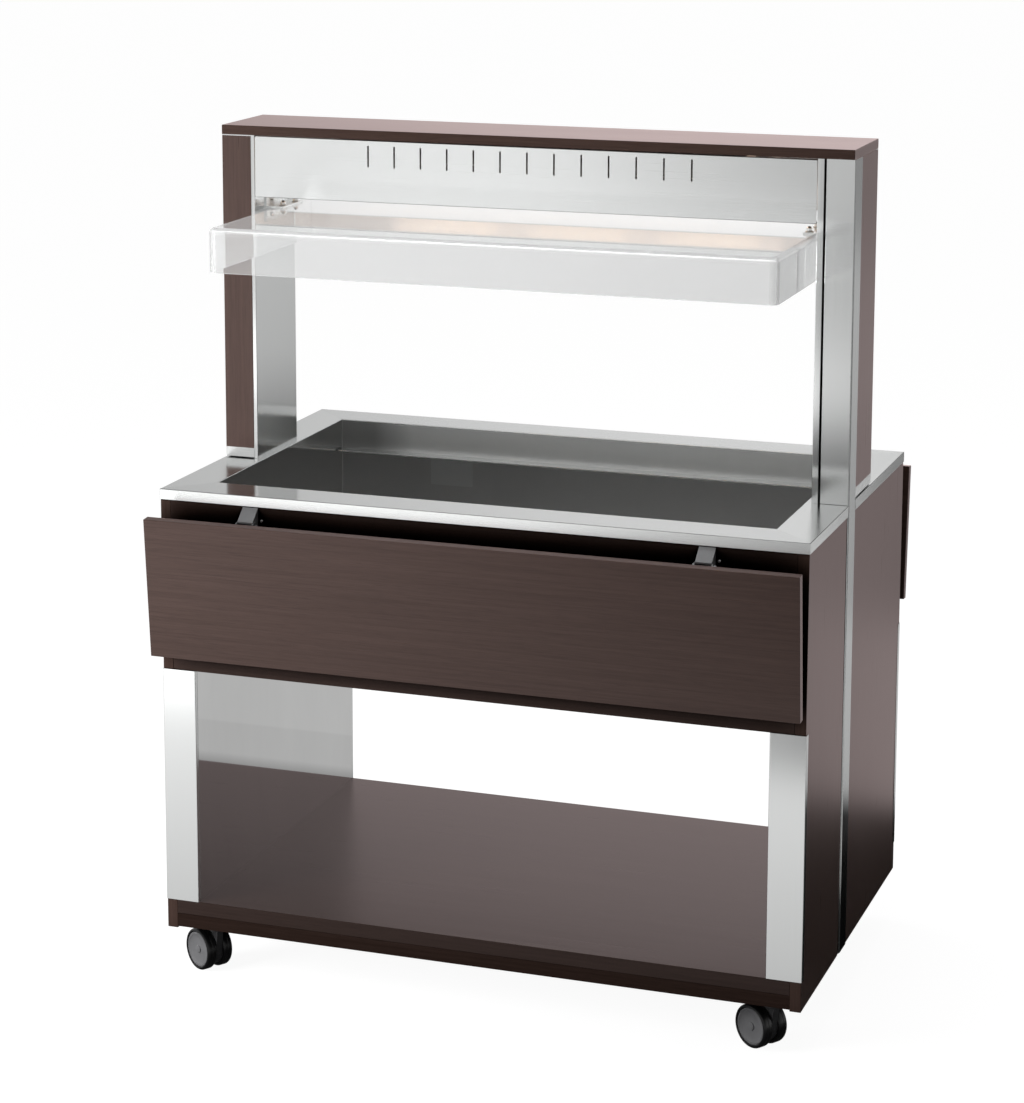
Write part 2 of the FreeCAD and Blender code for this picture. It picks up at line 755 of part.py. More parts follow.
def body_shell(body, sheet_size, bottom, rear):
    """Hollows the body from below and from behind."""
    tip = body.Tip
    faces = [f"Face{i}" for i, face in enumerate(tip.Shape.Faces, start=1)
             if all(level_at(edge, "z", bottom) for edge in face.Edges)
             or all(level_at(edge, "y", rear) for edge in face.Edges)]
    shell = body.newObject("PartDesign::Thickness", f"{body.Name}_shell")
    shell.Base = (tip, faces)
    shell.setExpression("Value", bound(sheet_size))
    shell.Reversed = True
    shell.Join = 1
    doc.recompute()
    return body


def bolt_places():
    return [(times(sign, "bolt_across"), f"angle_shift + {step} * bolt_pitch / 2")
            for sign in (-1, 1) for step in (-1, 1)]


def place_holes(body):
    circles = [(x, y, "bolt_radius + bolt_hole_clearance") for x, y in bolt_places()]
    sweep(body, "XY", "guard_top - guard_sheet", "guard_top", circles=circles, cut=True)


def make_guard_fixings():
    angles = []
    ahead, behind = "angle_shift - angle_depth / 2", "angle_shift + angle_depth / 2"
    for side, sign in SIDES.items():
        body = new_body(f"angle_{side}")
        foot, top = "guard_top", "guard_top + angle_sheet"
        tip, back, crest = "post_inner - angle_width", "post_inner - angle_sheet", f"{top} + angle_upstand"
        profile = [(times(sign, x), z) for x, z in (
            (tip, foot), ("post_inner", foot), ("post_inner", crest), (back, crest), (back, top),
            (tip, top))]
        sweep(body, "XZ", ahead, behind, [profile])
        circles = [(x, y, "bolt_radius + bolt_hole_clearance") for x, y in bolt_places()
                   if number(x) * sign > 0]
        sweep(body, "XY", foot, top, circles=circles, cut=True)
        angles.append(body)
    group("guard_brackets", angles)

    bolts = []
    under = "guard_top - guard_sheet"
    seat = "guard_top + angle_sheet"
    for index, (x, y) in enumerate(bolt_places(), start=1):
        body = new_body(f"guard_bolt_{index}")
        profile = [
            ("0", f"{under} - bolt_head_height"), ("bolt_head_radius", f"{under} - bolt_head_height"),
            ("bolt_head_radius", under), ("bolt_radius", under), ("bolt_radius", seat),
            ("nut_radius", seat),
            ("nut_radius", f"{seat} + nut_height / 2"), ("nut_radius / 2", f"{seat} + nut_height"),
            ("0", f"{seat} + nut_height"),
        ]
        sketch = sketch_on(body, "XZ", "0")
        draw_outline(sketch, profile)
        spin = body.newObject("PartDesign::Revolution", f"{body.Name}_spin")
        spin.Profile = sketch
        spin.ReferenceAxis = (sketch, ["V_Axis"])
        spin.Angle = 360
        doc.recompute()
        bolts.append(place(body, x, y))
    for side, sign in SIDES.items():
        for step in (-1, 1):
            screw = doc.addObject("Part::Cylinder", f"guard_screw_{side}_{step + 2}")
            screw.setExpression("Radius", bound("screw_head_radius"))
            screw.setExpression("Height", bound("screw_head_height"))
            low = span(sign, "post_inner - angle_sheet - screw_head_height", "post_inner - angle_sheet")[0]
            place(screw, low, f"angle_shift + {step} * angle_depth / 4", f"{seat} + angle_upstand / 2",
                  (0, 1, 0), "90")
            bolts.append(screw)
    group("guard_bolts", bolts)


# ---------------------------------------------------------------- fold-down shelves

def at_pivot(thing, sign, x="0", tilted=True):
    """Puts a piece that is drawn round a bracket pivot in its place at one end of the trolley."""
    if tilted:
        tilt = times(-sign, "flap_tilt")
        return place(thing, x, times(sign, "pivot_out"), "pivot_height", (1, 0, 0), tilt)
    return place(thing, x, times(sign, "pivot_out"), "pivot_height")


def outward(sign, points):
    """An outline of (distance outwards, height) pairs as (y, z) pairs at one end of the trolley."""
    return [(times(sign, out), up) for out, up in points]


def make_flaps():
    for end, sign in ENDS.items():
        body = node(new_body(f"flap_{end}"), f"flap_{end}")
        slab = rectangle("flap_inner", "pivot_drop", "flap_above_pivot - flap_drop", "flap_above_pivot")
        sweep(body, "YZ", "-half_width", "half_width", [outward(sign, slab)])
        dress(body, "Fillet", "edge_round", lambda edge: True)
        at_pivot(body, sign)


def bracket_centres():
    return {side: times(sign, "bracket_across") for side, sign in SIDES.items()}


def make_legs():
    """Channels on the aprons, each closed above by a sloping hood. Their rivets reach through the arms."""
    legs = []
    for end, sign in ENDS.items():
        for side, centre in bracket_centres().items():
            body = new_body(f"leg_{end}_{side}")
            back = "-(pivot_forward + panel_setback)"
            lip, shallow = f"{back} + leg_depth", f"{back} + leg_foot_depth"
            top, foot = "pivot_drop - leg_top_drop", "pivot_drop - leg_top_drop - leg_length"
            eave = f"{top} - leg_hood_fall"
            web = rectangle(back, f"{back} + leg_sheet", foot, top)
            hood = [(back, top), (lip, eave), (lip, f"{eave} - hood_sheet"), (back, f"{top} - hood_sheet")]
            cheek = [(back, foot), (shallow, foot), (shallow, "-leg_neck_drop - leg_depth"),
                     (lip, "-leg_neck_drop"), (lip, eave), (back, top)]
            edge, inside = "leg_width / 2", "leg_width / 2 - leg_sheet"
            for low, high, outline in ((f"-({edge})", edge, web), (f"-({edge})", edge, hood),
                                       (f"-({edge})", f"-({inside})", cheek), (inside, edge, cheek)):
                sweep(body, "YZ", low, high, [outward(sign, outline)])
            seat = "arm_half + arm_play"
            sweep(body, "YZ", f"-({seat})", seat, circles=[("0", "0", "rivet_radius")])
            for low, high in ((f"-({seat}) - rivet_head", f"-({seat})"), (seat, f"{seat} + rivet_head")):
                sweep(body, "YZ", low, high, circles=[("0", "0", "rivet_head_radius")])
            legs.append(at_pivot(body, sign, centre, tilted=False))
    group("bracket_legs", legs)


def make_arms():
    """Channels under the shelves, whose cheeks reach round the legs."""
    for end, sign in ENDS.items():
        arms = []
        for side, centre in bracket_centres().items():
            body = new_body(f"arm_{end}_{side}")
            web_face = "flap_inner - arm_sheet"
            tip = "-arm_length"
            web = rectangle(web_face, "flap_inner", tip, "-arm_slope")
            cheek = [("-arm_nose", "arm_heel"), ("-arm_nose", "-arm_heel"),
                     ("flap_inner - 2 * arm_tail_depth", "-stay_along - 2 * stay_eye"),
                     ("flap_inner - arm_tail_depth", tip), (web_face, tip), (web_face, "-arm_slope"),
                     ("arm_nose", "arm_heel")]
            sweep(body, "YZ", "-(arm_half)", "arm_half", [outward(sign, web)])
            inside = "arm_half - arm_sheet"
            for low, high in (("-(arm_half)", f"-({inside})"), (inside, "arm_half")):
                sweep(body, "YZ", low, high, [outward(sign, cheek)])
            sweep(body, "YZ", "-(arm_half)", "arm_half", cut=True,
                  circles=[("0", "0", "rivet_radius + pin_clearance")])
            sweep(body, "YZ", "-(arm_half)", "arm_half",
                  circles=[(times(sign, "stay_out"), "-stay_along", "rivet_radius")])
            arms.append(at_pivot(body, sign, centre))
        group(f"bracket_arms_{end}", arms)


def make_stays():
    """Stays hang from the arms. Each foot runs free between the cheeks of its leg."""
    for end, sign in ENDS.items():
        stays = []
        for side, centre in bracket_centres().items():
            body = new_body(f"stay_{end}_{side}")
            low, high = "-stay_width / 2", "stay_width / 2"
            foot = "-stay_along - stay_length"
            bar = rectangle("stay_out - stay_bar / 2", "stay_out + stay_bar / 2", foot, "-stay_along")
            eye = times(sign, "stay_out")
            sweep(body, "YZ", low, high, [outward(sign, bar)])
            sweep(body, "YZ", low, high, circles=[(eye, "-stay_along", "stay_eye")])
            sweep(body, "YZ", low, high, circles=[(eye, foot, "stay_eye")])
            sweep(body, "YZ", low, high, cut=True,
                  circles=[(eye, "-stay_along", "rivet_radius + pin_clearance")])
            stays.append(at_pivot(body, sign, centre))
        group(f"stays_{end}", stays)


# ---------------------------------------------------------------- casters

def caster_corners():
    """Name and signs of each caster's corner."""
    return [(f"{end}_{side}", across, along)
            for end, along in ENDS.items() for side, across in SIDES.items()]


def at_stem(thing, across, along, angle="-caster_swivel"):
    return place(thing, times(across, "stem_across"), times(along, "stem_along"), "0", (0, 0, 1), angle)


def make_casters():
    plates = []
    trail = "-caster_trail"
    for corner, across, along in caster_corners():
        plate = new_body(f"caster_plate_{corner}")
        sweep(plate, "XY", "plate_under", "base_under",
              [rectangle("-plate_side / 2", "plate_side / 2", "-plate_side / 2", "plate_side / 2")])
        dress(plate, "Fillet", "plate_thickness", upright_edge)
        sweep(plate, "XY", "boss_under", "plate_under", circles=[("0", "0", "boss_radius")])
        plates.append(at_stem(plate, across, along, "0"))

        hood = node(new_body(f"caster_hood_{corner}"), f"caster_hood_{corner}")
        cheek = ("-hood_thickness / 2", "hood_thickness / 2")
        top = "boss_under - swivel_gap"
        neck = [("neck_radius", top), ("-neck_radius", top), (trail, f"{top} - neck_height"),
                (trail, "wheel_radius"), ("hood_radius - caster_trail", "wheel_radius")]
        sweep(hood, "XZ", *cheek, circles=[(trail, "wheel_radius", "hood_radius")])
        sweep(hood, "XZ", *cheek, [neck])
        sweep(hood, "XY", f"{top} - neck_height", top, circles=[("0", "0", "neck_radius")])
        axle_bore = (trail, "wheel_radius", "axle_radius + pin_clearance")
        sweep(hood, "XZ", *cheek, circles=[axle_bore], cut=True)
        at_stem(hood, across, along)

        hubs = node(new_body(f"caster_hubs_{corner}"), f"caster_hubs_{corner}")
        near, far = "wheel_gap / 2 + hub_setback", "wheel_gap / 2 + tyre_width - hub_setback"
        sweep(hubs, "XZ", f"-({far})", far, circles=[(trail, "wheel_radius", "axle_radius")])
        tyres = []
        for sign in (-1, 1):
            inner = "wheel_radius - tyre_thickness"
            sweep(hubs, "XZ", *span(sign, near, far), circles=[(trail, "wheel_radius", inner)])
            tyre = new_body(f"tyre_{corner}_{'near' if sign < 0 else 'far'}")
            sweep(tyre, "XZ", *span(sign, "wheel_gap / 2", "wheel_gap / 2 + tyre_width"),
                  circles=[(trail, "wheel_radius", "wheel_radius"), (trail, "wheel_radius", inner)])
            dress(tyre, "Fillet", "tyre_round",
                  lambda edge: abs(edge.Curve.Radius - number("wheel_radius")) < 0.01
                  if hasattr(edge.Curve, "Radius") else False)
            tyres.append(at_stem(tyre, across, along))
        dress(hubs, "Chamfer", "hub_chamfer", lambda edge, far=far: hasattr(edge.Curve, "Radius")
              and abs(edge.Curve.Radius - number("wheel_radius - tyre_thickness")) < 0.01
              and abs(abs(edge.Curve.Center.y) - number(far)) < 0.01)
        at_stem(hubs, across, along)
        group(f"caster_tyres_{corner}", tyres)
    group("caster_plates", plates)


# ---------------------------------------------------------------- switch and inlet

def make_switch():
    frame = node(new_body("switch_frame"), "switch_frame")
    half_x, half_z = "switch_width / 2", "switch_height / 2"
    outer = rectangle(f"switch_shift - {half_x} - bezel_border", f"switch_shift + {half_x} + bezel_border",
                      f"switch_level - {half_z} - bezel_border", f"switch_level + {half_z} + bezel_border")
    sleeve = rectangle(f"switch_shift - {half_x}", f"switch_shift + {half_x}",
                       f"switch_level - {half_z}", f"switch_level + {half_z}")
    free_x, free_z = f"({half_x} - switch_wall)", f"({half_z} - switch_wall / 4)"
    opening = rectangle(f"switch_shift - {free_x}", f"switch_shift + {free_x}",
                        f"switch_level - {free_z}", f"switch_level + {free_z}")
    sweep(frame, "XZ", "post_half", "post_half + bezel_thickness", [outer])
    sweep(frame, "XZ", "post_half - switch_depth", "post_half", [sleeve])
    sweep(frame, "XZ", "post_half - switch_depth + switch_wall", "post_half + bezel_thickness", [opening],
          cut=True)

    rocker = node(new_body("switch_rocker"), "switch_rocker")
    reach = f"{half_x} - switch_wall - rocker_play"
    face = [("-rocker_back", "-rocker_half_height / 2"), ("rocker_tip", "-rocker_half_height"),
            ("rocker_dip", "0"), ("rocker_tip", "rocker_half_height"),
            ("-rocker_back", "rocker_half_height / 2")]
    sweep(rocker, "YZ", f"-({reach})", reach, [face])
    place(rocker, "switch_shift", "post_half - rocker_sink", "switch_level", (1, 0, 0), "-rocker_tilt")


def make_inlet():
    inlet = node(new_body("power_inlet"), "power_inlet")
    centre = ("-inlet_shift", "inlet_level")
    sweep(inlet, "XZ", "board_front", "board_front + inlet_flange", circles=[(*centre, "inlet_radius")])
    sweep(inlet, "XZ", "board_front + inlet_flange", "board_front + inlet_nose",
          circles=[(*centre, "inlet_nose_radius")])
    sweep(inlet, "XZ", "board_front + inlet_flange", "board_front + inlet_nose",
          circles=[(*centre, "inlet_bore")], cut=True)


for make in (make_base, make_side_panels, make_walls, make_upper_box, make_uprights, make_rims, make_well,
             make_posts, make_canopy, make_fascias, make_lamps, make_guard, make_guard_fixings, make_flaps,
             make_legs, make_arms, make_stays, make_casters, make_switch, make_inlet):
    make()

doc.recompute()
for thing in doc.Objects:
    if {"Invalid", "Error"} & set(thing.State):
        raise RuntimeError(f"{thing.Label} failed: {thing.State}")
for thing in nodes:
    if thing.Shape.isNull() or not thing.Shape.isValid():
        raise RuntimeError(f"{thing.Label} has no sound shape")

os.makedirs("parts", exist_ok=True)
for thing in nodes:
    thing.Shape.exportStep(f"parts/{thing.Label}.step")
print(len(nodes), "sub-parts")
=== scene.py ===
"""Looks of a buffet trolley: wood-grain boards, brushed steel, a clear guard and twin-wheel casters."""

import json
import math

import bmesh
import bpy
from mathutils import Matrix, Vector


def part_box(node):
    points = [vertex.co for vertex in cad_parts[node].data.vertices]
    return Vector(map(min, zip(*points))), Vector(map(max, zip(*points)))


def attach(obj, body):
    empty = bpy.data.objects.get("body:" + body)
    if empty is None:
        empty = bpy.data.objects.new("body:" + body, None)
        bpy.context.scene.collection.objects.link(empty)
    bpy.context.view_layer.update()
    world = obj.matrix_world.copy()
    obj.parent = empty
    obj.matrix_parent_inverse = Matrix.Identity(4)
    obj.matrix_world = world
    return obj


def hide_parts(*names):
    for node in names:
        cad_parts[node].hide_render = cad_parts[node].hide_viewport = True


bl_info = {
    "name": "Buffet Trolley",
    "version": (1, 0, 0),
    "blender": (4, 5, 0),
    "location": "3D View > Sidebar > Trolley",
    "description": "Dresses the packed trolley with detailed pieces and materials",
    "category": "Object",
}

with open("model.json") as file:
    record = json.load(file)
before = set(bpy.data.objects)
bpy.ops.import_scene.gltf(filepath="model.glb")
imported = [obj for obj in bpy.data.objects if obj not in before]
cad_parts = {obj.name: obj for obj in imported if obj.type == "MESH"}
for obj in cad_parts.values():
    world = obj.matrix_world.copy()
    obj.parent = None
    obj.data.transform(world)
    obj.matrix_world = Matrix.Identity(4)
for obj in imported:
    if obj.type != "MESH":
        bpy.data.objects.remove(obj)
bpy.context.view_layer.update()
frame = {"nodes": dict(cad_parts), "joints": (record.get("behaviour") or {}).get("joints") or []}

MM = 0.001
FIXED = "trolley_frame"
SIDES = {"left": -1, "right": 1}
ENDS = {"front": -1, "rear": 1}
CORNERS = [f"{end}_{side}" for end in ENDS for side in SIDES]
AXES = {"x": 0, "y": 1, "z": 2}
HAIR = 0.05 * MM
GUARD_SHEET = 6 * MM
TINY = 1e-6
WHITE = (1.0, 1.0, 1.0)


# ---------------------------------------------------------------- settings

def colour(name, description, default):
    return bpy.props.FloatVectorProperty(name=name, description=description, subtype="COLOR",
                                         default=default, min=0, max=1)


def share(name, description, default):
    return bpy.props.FloatProperty(name=name, description=description, subtype="FACTOR",
                                   default=default, min=0, max=1)


def length(name, description, default):
    return bpy.props.FloatProperty(name=name, description=description, unit="LENGTH",
                                   default=default, min=0)


class TrolleyFinish(bpy.types.PropertyGroup):
    """Colours and sheens of the surfaces"""

    laminate_dark: colour("Laminate, dark grain", "Colour of the dark streaks of the boards",
                          (0.046, 0.0265, 0.0205))
    laminate_light: colour("Laminate, light grain", "Colour of the light streaks of the boards",
                           (0.063, 0.0375, 0.0300))
    laminate_roughness: share("Laminate roughness", "How dull the boards are", 0.30)
    steel: colour("Steel", "Colour of the brushed sheet", (0.80, 0.81, 0.805))
    steel_roughness: share("Steel roughness", "How dull the brushed sheet is", 0.26)
    steel_stretch: share("Steel stretch", "How far reflections smear across the brushing", 0.92)
    guard: colour("Guard", "Tint of the clear guard", (0.985, 0.99, 0.99))
    guard_clearness: share("Guard clearness", "Share of the light that the guard's faces let through", 0.90)
    rubber: colour("Tyres", "Colour of the tyres", (0.006, 0.006, 0.0065))
    wheel_grey: colour("Wheels", "Colour of the wheel discs", (0.155, 0.155, 0.16))
    hood_grey: colour("Caster hoods", "Colour of the moulded hoods", (0.05, 0.05, 0.052))


class TrolleyDetail(bpy.types.PropertyGroup):
    """Sizes of the details that the boards and sheets get here"""

    sheet_edge: length("Sheet edge", "Rounding of the cut edges of the posts' panels", 0.35 * MM)
    sheet_bend: length("Sheet bend", "Outer radius where the counter and the posts' panels are folded",
                       1.0 * MM)
    slot_end: length("Slot end", "Rounding of the ends of the fascia's slots", 1.45 * MM)
    tyre_groove: length("Tyre groove", "Depth of the groove round each tyre", 0.6 * MM)
    hub_dish: length("Hub dish", "How far the wheel disc is sunk inside its rim", 2.4 * MM)


class TrolleyStage(bpy.types.PropertyGroup):
    """Camera, lights and floor"""

    camera_place: bpy.props.FloatVectorProperty(
        name="Camera", description="Where the camera stands", subtype="TRANSLATION", unit="LENGTH",
        default=(1.64895, -4.96163, 2.06573))
    azimuth: bpy.props.FloatProperty(
        name="Azimuth", description="Turn of the camera from straight ahead", subtype="ANGLE",
        default=math.radians(19.82))
    elevation: bpy.props.FloatProperty(
        name="Elevation", description="How far the camera looks down", subtype="ANGLE",
        default=math.radians(9.884))
    focal_pixels: bpy.props.FloatProperty(
        name="Focal length in pixels", description="Focal length over the size of a picture point",
        default=3037.6, min=1)
    picture: bpy.props.IntVectorProperty(
        name="Picture", description="Width and height of the picture in points", size=2,
        default=(1024, 1103))
    picture_axis: bpy.props.FloatVectorProperty(
        name="Picture axis", description="Where the lens axis meets the picture, from its top left",
        size=2, default=(467.67, 319.22))
    world_light: bpy.props.FloatProperty(
        name="World light", description="Strength of the even light from all round", default=0.28, min=0)


GROUPS = {"trolley_finish": TrolleyFinish, "trolley_detail": TrolleyDetail, "trolley_stage": TrolleyStage}


def finish():
    return bpy.context.scene.trolley_finish


def detail():
    return bpy.context.scene.trolley_detail


# ---------------------------------------------------------------- materials

class Wiring:
    """Short ways to add nodes to a tree."""

    def __init__(self, tree):
        self.tree = tree

    def node(self, kind, inputs=None, **settings):
        made = self.tree.nodes.new(kind)
        for name, value in settings.items():
            setattr(made, name, value)
        for name, value in (inputs or {}).items():
            self.put(made, name, value)
        return made

    def put(self, node, socket, value):
        if isinstance(value, bpy.types.NodeSocket):
            self.tree.links.new(value, node.inputs[socket])
            return
        if hasattr(value, "__len__") and len(value) == 3 and node.inputs[socket].type == "RGBA":
            value = (*value, 1)
        node.inputs[socket].default_value = value

    def spread(self, value, low, high, start=0.0, end=1.0):
        """The value between low and high, spread over start to end."""
        inputs = {"Value": value, "From Min": low, "From Max": high, "To Min": start, "To Max": end}
        return self.node("ShaderNodeMapRange", inputs).outputs["Result"]

    def maths(self, operation, *values):
        made = self.node("ShaderNodeMath", operation=operation)
        for socket, value in enumerate(values):
            self.put(made, socket, value)
        return made.outputs[0]

    def plus(self, first, second):
        return self.maths("ADD", first, second)

    def less(self, first, second):
        return self.maths("SUBTRACT", first, second)

    def times(self, first, second):
        return self.maths("MULTIPLY", first, second)

    def most(self, first, second):
        return self.maths("MAXIMUM", first, second)

    def least(self, first, second):
        return self.maths("MINIMUM", first, second)

    def either(self, share, first, second):
        """The first value where the share is 0, the second where it is 1."""
        pick = self.node("ShaderNodeMix", data_type="FLOAT")
        for socket, value in ((0, share), (2, first), (3, second)):
            self.put(pick, socket, value)
        return pick.outputs[0]

    def parts(self, vector):
        """The three parts of a vector, by the names X, Y and Z."""
        return self.node("ShaderNodeSeparateXYZ", {"Vector": vector}).outputs

    def vector(self, first, second, operation):
        made = self.node("ShaderNodeVectorMath", operation=operation)
        self.put(made, 0, first)
        self.put(made, 1, second)
        return made.outputs["Value" if operation == "DOT_PRODUCT" else "Vector"]

    def mixed(self, share, first, second):
        """One shader laid over another."""
        made = self.node("ShaderNodeMixShader")
        self.put(made, 0, share)
        self.tree.links.new(first, made.inputs[1])
        self.tree.links.new(second, made.inputs[2])
        return made.outputs[0]


class Recipe(Wiring):
    """A node material whose patterns read Object coordinates."""

    def __init__(self, name, **sockets):
        self.material = bpy.data.materials.new(name)
        self.material.use_nodes = True
        super().__init__(self.material.node_tree)
        self.shader = self.tree.nodes["Principled BSDF"]
        for socket, value in sockets.items():
            self.put(self.shader, socket.replace("_", " "), value)
        self.place = self.node("ShaderNodeTexCoord").outputs["Object"]

    def give(self, socket, value):
        self.put(self.shader, socket, value)

    def show(self, shader):
        self.tree.links.new(shader, self.tree.nodes["Material Output"].inputs["Surface"])

    def facing(self):
        """The way the surface faces."""
        return self.node("ShaderNodeNewGeometry").outputs["Normal"]

    def noise(self, scale, detail_level=3, roughness=0.55, distortion=0.0):
        """Noise that is squeezed by the scale along each axis."""
        squeezed = self.node("ShaderNodeMapping", {"Vector": self.place, "Scale": scale}).outputs["Vector"]
        inputs = {"Vector": squeezed, "Scale": 1.0, "Detail": detail_level, "Roughness": roughness,
                  "Distortion": distortion}
        return self.node("ShaderNodeTexNoise", inputs).outputs["Fac"]

    def blend(self, factor, first, second):
        made = self.node("ShaderNodeMix", data_type="RGBA")
        self.put(made, 0, factor)
        self.put(made, 6, first)
        self.put(made, 7, second)
        return made.outputs[2]

    def bump(self, height, strength, distance=0.001):
        inputs = {"Height": height, "Strength": strength, "Distance": distance}
        self.give("Normal", self.node("ShaderNodeBump", inputs).outputs["Normal"])
        return self

    def dimmed(self, colour, value):
        """A colour at another brightness."""
        return self.node("ShaderNodeHueSaturation", {"Color": colour, "Value": value}).outputs["Color"]


def along(axis, lengthwise, across):
    """A scale that is small along the grain and large across it."""
    return tuple(lengthwise if index == AXES[axis] else across for index in range(3))


def scaled(colour, factor):
    """A colour made lighter or darker, up to full."""
    return [min(1, c * factor) for c in colour]


def laminate(name, axis, shade=1.0, sheltered=False, gloss=1.6, matt=0.028):
    """Semi-gloss grey-brown laminate with very fine straight grain along one axis.

    Its varnish mirrors by the slant of the view: gloss strengthens that and matt takes a share off. A shade
    below one gives a darker copy of the laminate as painted shade. A sheltered board gets painted shade,
    which takes light and shine off it towards the corners it stands in."""
    look = Recipe(name, Specular_IOR_Level=0.0)
    bands = look.noise(along(axis, 0.9, 16), 2, 0.5, 0.2)
    streaks = look.noise(along(axis, 3.2, 230), 4, 0.6, 0.1)
    pores = look.noise(along(axis, 26, 950), 2, 0.6)
    tone = look.plus(look.spread(streaks, 0.34, 0.66), look.spread(bands, 0.3, 0.7, -0.18, 0.18))
    # A shade below one darkens the whole laminate: painted shade for boards that stand in less light.
    dark = tuple(c * shade for c in finish().laminate_dark)
    light = tuple(c * shade for c in finish().laminate_light)
    grain = look.blend(look.spread(tone, 0, 1), dark, light)
    depth = look.spread(pores, 0.36, 0.5, 0.78, 1.0)
    glancing = look.less(look.node("ShaderNodeFresnel", {"IOR": 1.5}).outputs[0], matt)
    shine = look.times(glancing, gloss)
    if sheltered:
        # Painted shade: ambient occlusion darkens the colour and the shine of a sheltered board towards its
        # corners and gaps.
        crevice = look.node("ShaderNodeAmbientOcclusion", {"Distance": 140 * MM}).outputs["AO"]
        shelter = look.maths("POWER", look.spread(crevice, 0.40, 0.90), 2)
        depth = look.times(depth, shelter)
        shine = look.times(shelter, shine)
    look.give("Base Color", look.dimmed(grain, depth))
    rough = finish().laminate_roughness
    rough = look.spread(streaks, 0.2, 0.8, rough + 0.04, rough - 0.04)
    look.give("Roughness", rough)
    look.bump(pores, 0.08, 0.0002)
    varnish = look.node("ShaderNodeBsdfGlossy", {"Color": (1.0, 0.83, 0.82), "Roughness": rough})
    look.show(look.mixed(shine, look.shader.outputs[0], varnish.outputs[0]))
    return look.material


def brushed(name, axis, tone=1.0, rough_change=0.0, painted_lamp_glow=0.0):
    """Stainless sheet, brushed along one axis. Reflections smear across the brushing.

    Sheet in lamplight gets a painted glow at its foot, beside the lamps, standing in for their light. A tone
    above or below one gives a lighter or darker copy of the sheet: painted highlight or painted shade."""
    colour = finish().steel
    look = Recipe(name, Metallic=1.0, Anisotropic=finish().steel_stretch,
                  Emission_Color=(1.0, 0.78, 0.66))
    # Painted glow: the foot of the sheet emits warm light that stands in for the lamps' light.
    if painted_lamp_glow:
        height = look.parts(look.place)["Z"]
        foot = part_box("fascia_rear")[0].z
        look.give("Emission Strength", look.spread(height, foot + 36 * MM, foot + 50 * MM, painted_lamp_glow, 0.0))
    lines = look.noise(along(axis, 2.5, 1500), 3, 0.7)
    look.give("Base Color", look.blend(look.spread(lines, 0.3, 0.7), scaled(colour, tone * 0.98),
                                       scaled(colour, tone * 1.02)))
    rough = finish().steel_roughness + rough_change
    look.give("Roughness", look.spread(lines, 0.25, 0.75, rough - 0.02, rough + 0.02))
    brushing = tuple(value + 0.01 for value in along(axis, 1.0, 0.0))
    look.give("Tangent", look.vector(look.facing(), brushing, "CROSS_PRODUCT"))
    return look.bump(lines, 0.01, 0.0002).material


def deep_steel(name):
    """The tub's sheet, with painted shade that darkens it from the ledges down, on its end walls and towards
    its left end. Its end walls are smoother.
    """
    look = Recipe(name, Metallic=1.0, Anisotropic=0.5)
    lines = look.noise((3, 3, 1500), 3, 0.6)
    place = look.parts(look.place)
    foot, brim = (corner.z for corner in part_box("well_ledges"))
    level = look.spread(place["Z"], foot - 2 * MM, brim)
    # Painted shade: the sheet is darker towards the bottom of the tub.
    tone = look.blend(level, (0.60, 0.60, 0.595), (0.96, 0.97, 0.96))
    end_wall = look.spread(look.maths("ABSOLUTE", look.parts(look.facing())["X"]), 0.6, 0.8)
    # Painted shade towards the tub's left end, in the upper part of its long walls.
    corner = look.spread(place["X"], -0.43, -0.35, 0.48, 1.0)
    corner = look.blend(look.times(level, look.less(1, end_wall)), WHITE, corner)
    # Painted shade: the end walls take a darker tone.
    look.give("Base Color", look.dimmed(look.blend(end_wall, tone, (0.62, 0.62, 0.615)), corner))
    rough = look.plus(look.spread(lines, 0.3, 0.7, -0.01, 0.01), look.spread(level, 0.0, 1.0, 0.30, 0.44))
    smooth = look.times(end_wall, 0.76)
    look.give("Roughness", look.times(rough, look.less(1, smooth)))
    return look.material


def polished(name, colour, rough, smear=0.02):
    """Bright metal with faint wiping marks."""
    look = Recipe(name, Metallic=1.0)
    marks = look.spread(look.noise((7, 7, 2.5), 4, 0.6, 0.6), 0.3, 0.7)
    look.give("Base Color", look.blend(marks, colour, scaled(colour, 1.06)))
    look.give("Roughness", look.plus(look.times(marks, smear), rough))
    return look.material


def aluminium_with_painted_glow(name, colour):
    """Rolled aluminium with a painted warm glow on its underside, which stands in for the light of the lamps
    under it.
    """
    look = Recipe(name, Metallic=1.0, Emission_Color=(1.0, 0.70, 0.52))
    ripple = look.noise((3, 90, 90), 2, 0.5)
    look.give("Base Color", look.blend(ripple, scaled(colour, 0.95), colour))
    look.give("Roughness", look.spread(ripple, 0.3, 0.7, 0.22, 0.30))
    # Painted glow: the underside emits warm light.
    underside = look.spread(look.parts(look.facing())["Z"], -0.3, -0.1, 1.0, 0.0)
    look.give("Emission Strength", look.times(underside, look.spread(ripple, 0.2, 0.8, 0.40, 0.50)))
    return look.material


def coated(name, colour, rough, grain=900.0, depth=0.1, metal=0.0):
    """Moulded plastic or coated metal with a fine skin."""
    look = Recipe(name, Metallic=metal)
    skin = look.noise((grain, grain, grain), 2, 0.5)
    cloud = look.noise((22, 22, 22), 3, 0.6)
    look.give("Base Color", look.blend(look.spread(cloud, 0.3, 0.7), scaled(colour, 0.9),
                                       scaled(colour, 1.1)))
    look.give("Roughness", look.spread(cloud, 0.3, 0.7, rough - 0.05, rough + 0.05))
    return look.bump(skin, depth, 0.0003).material


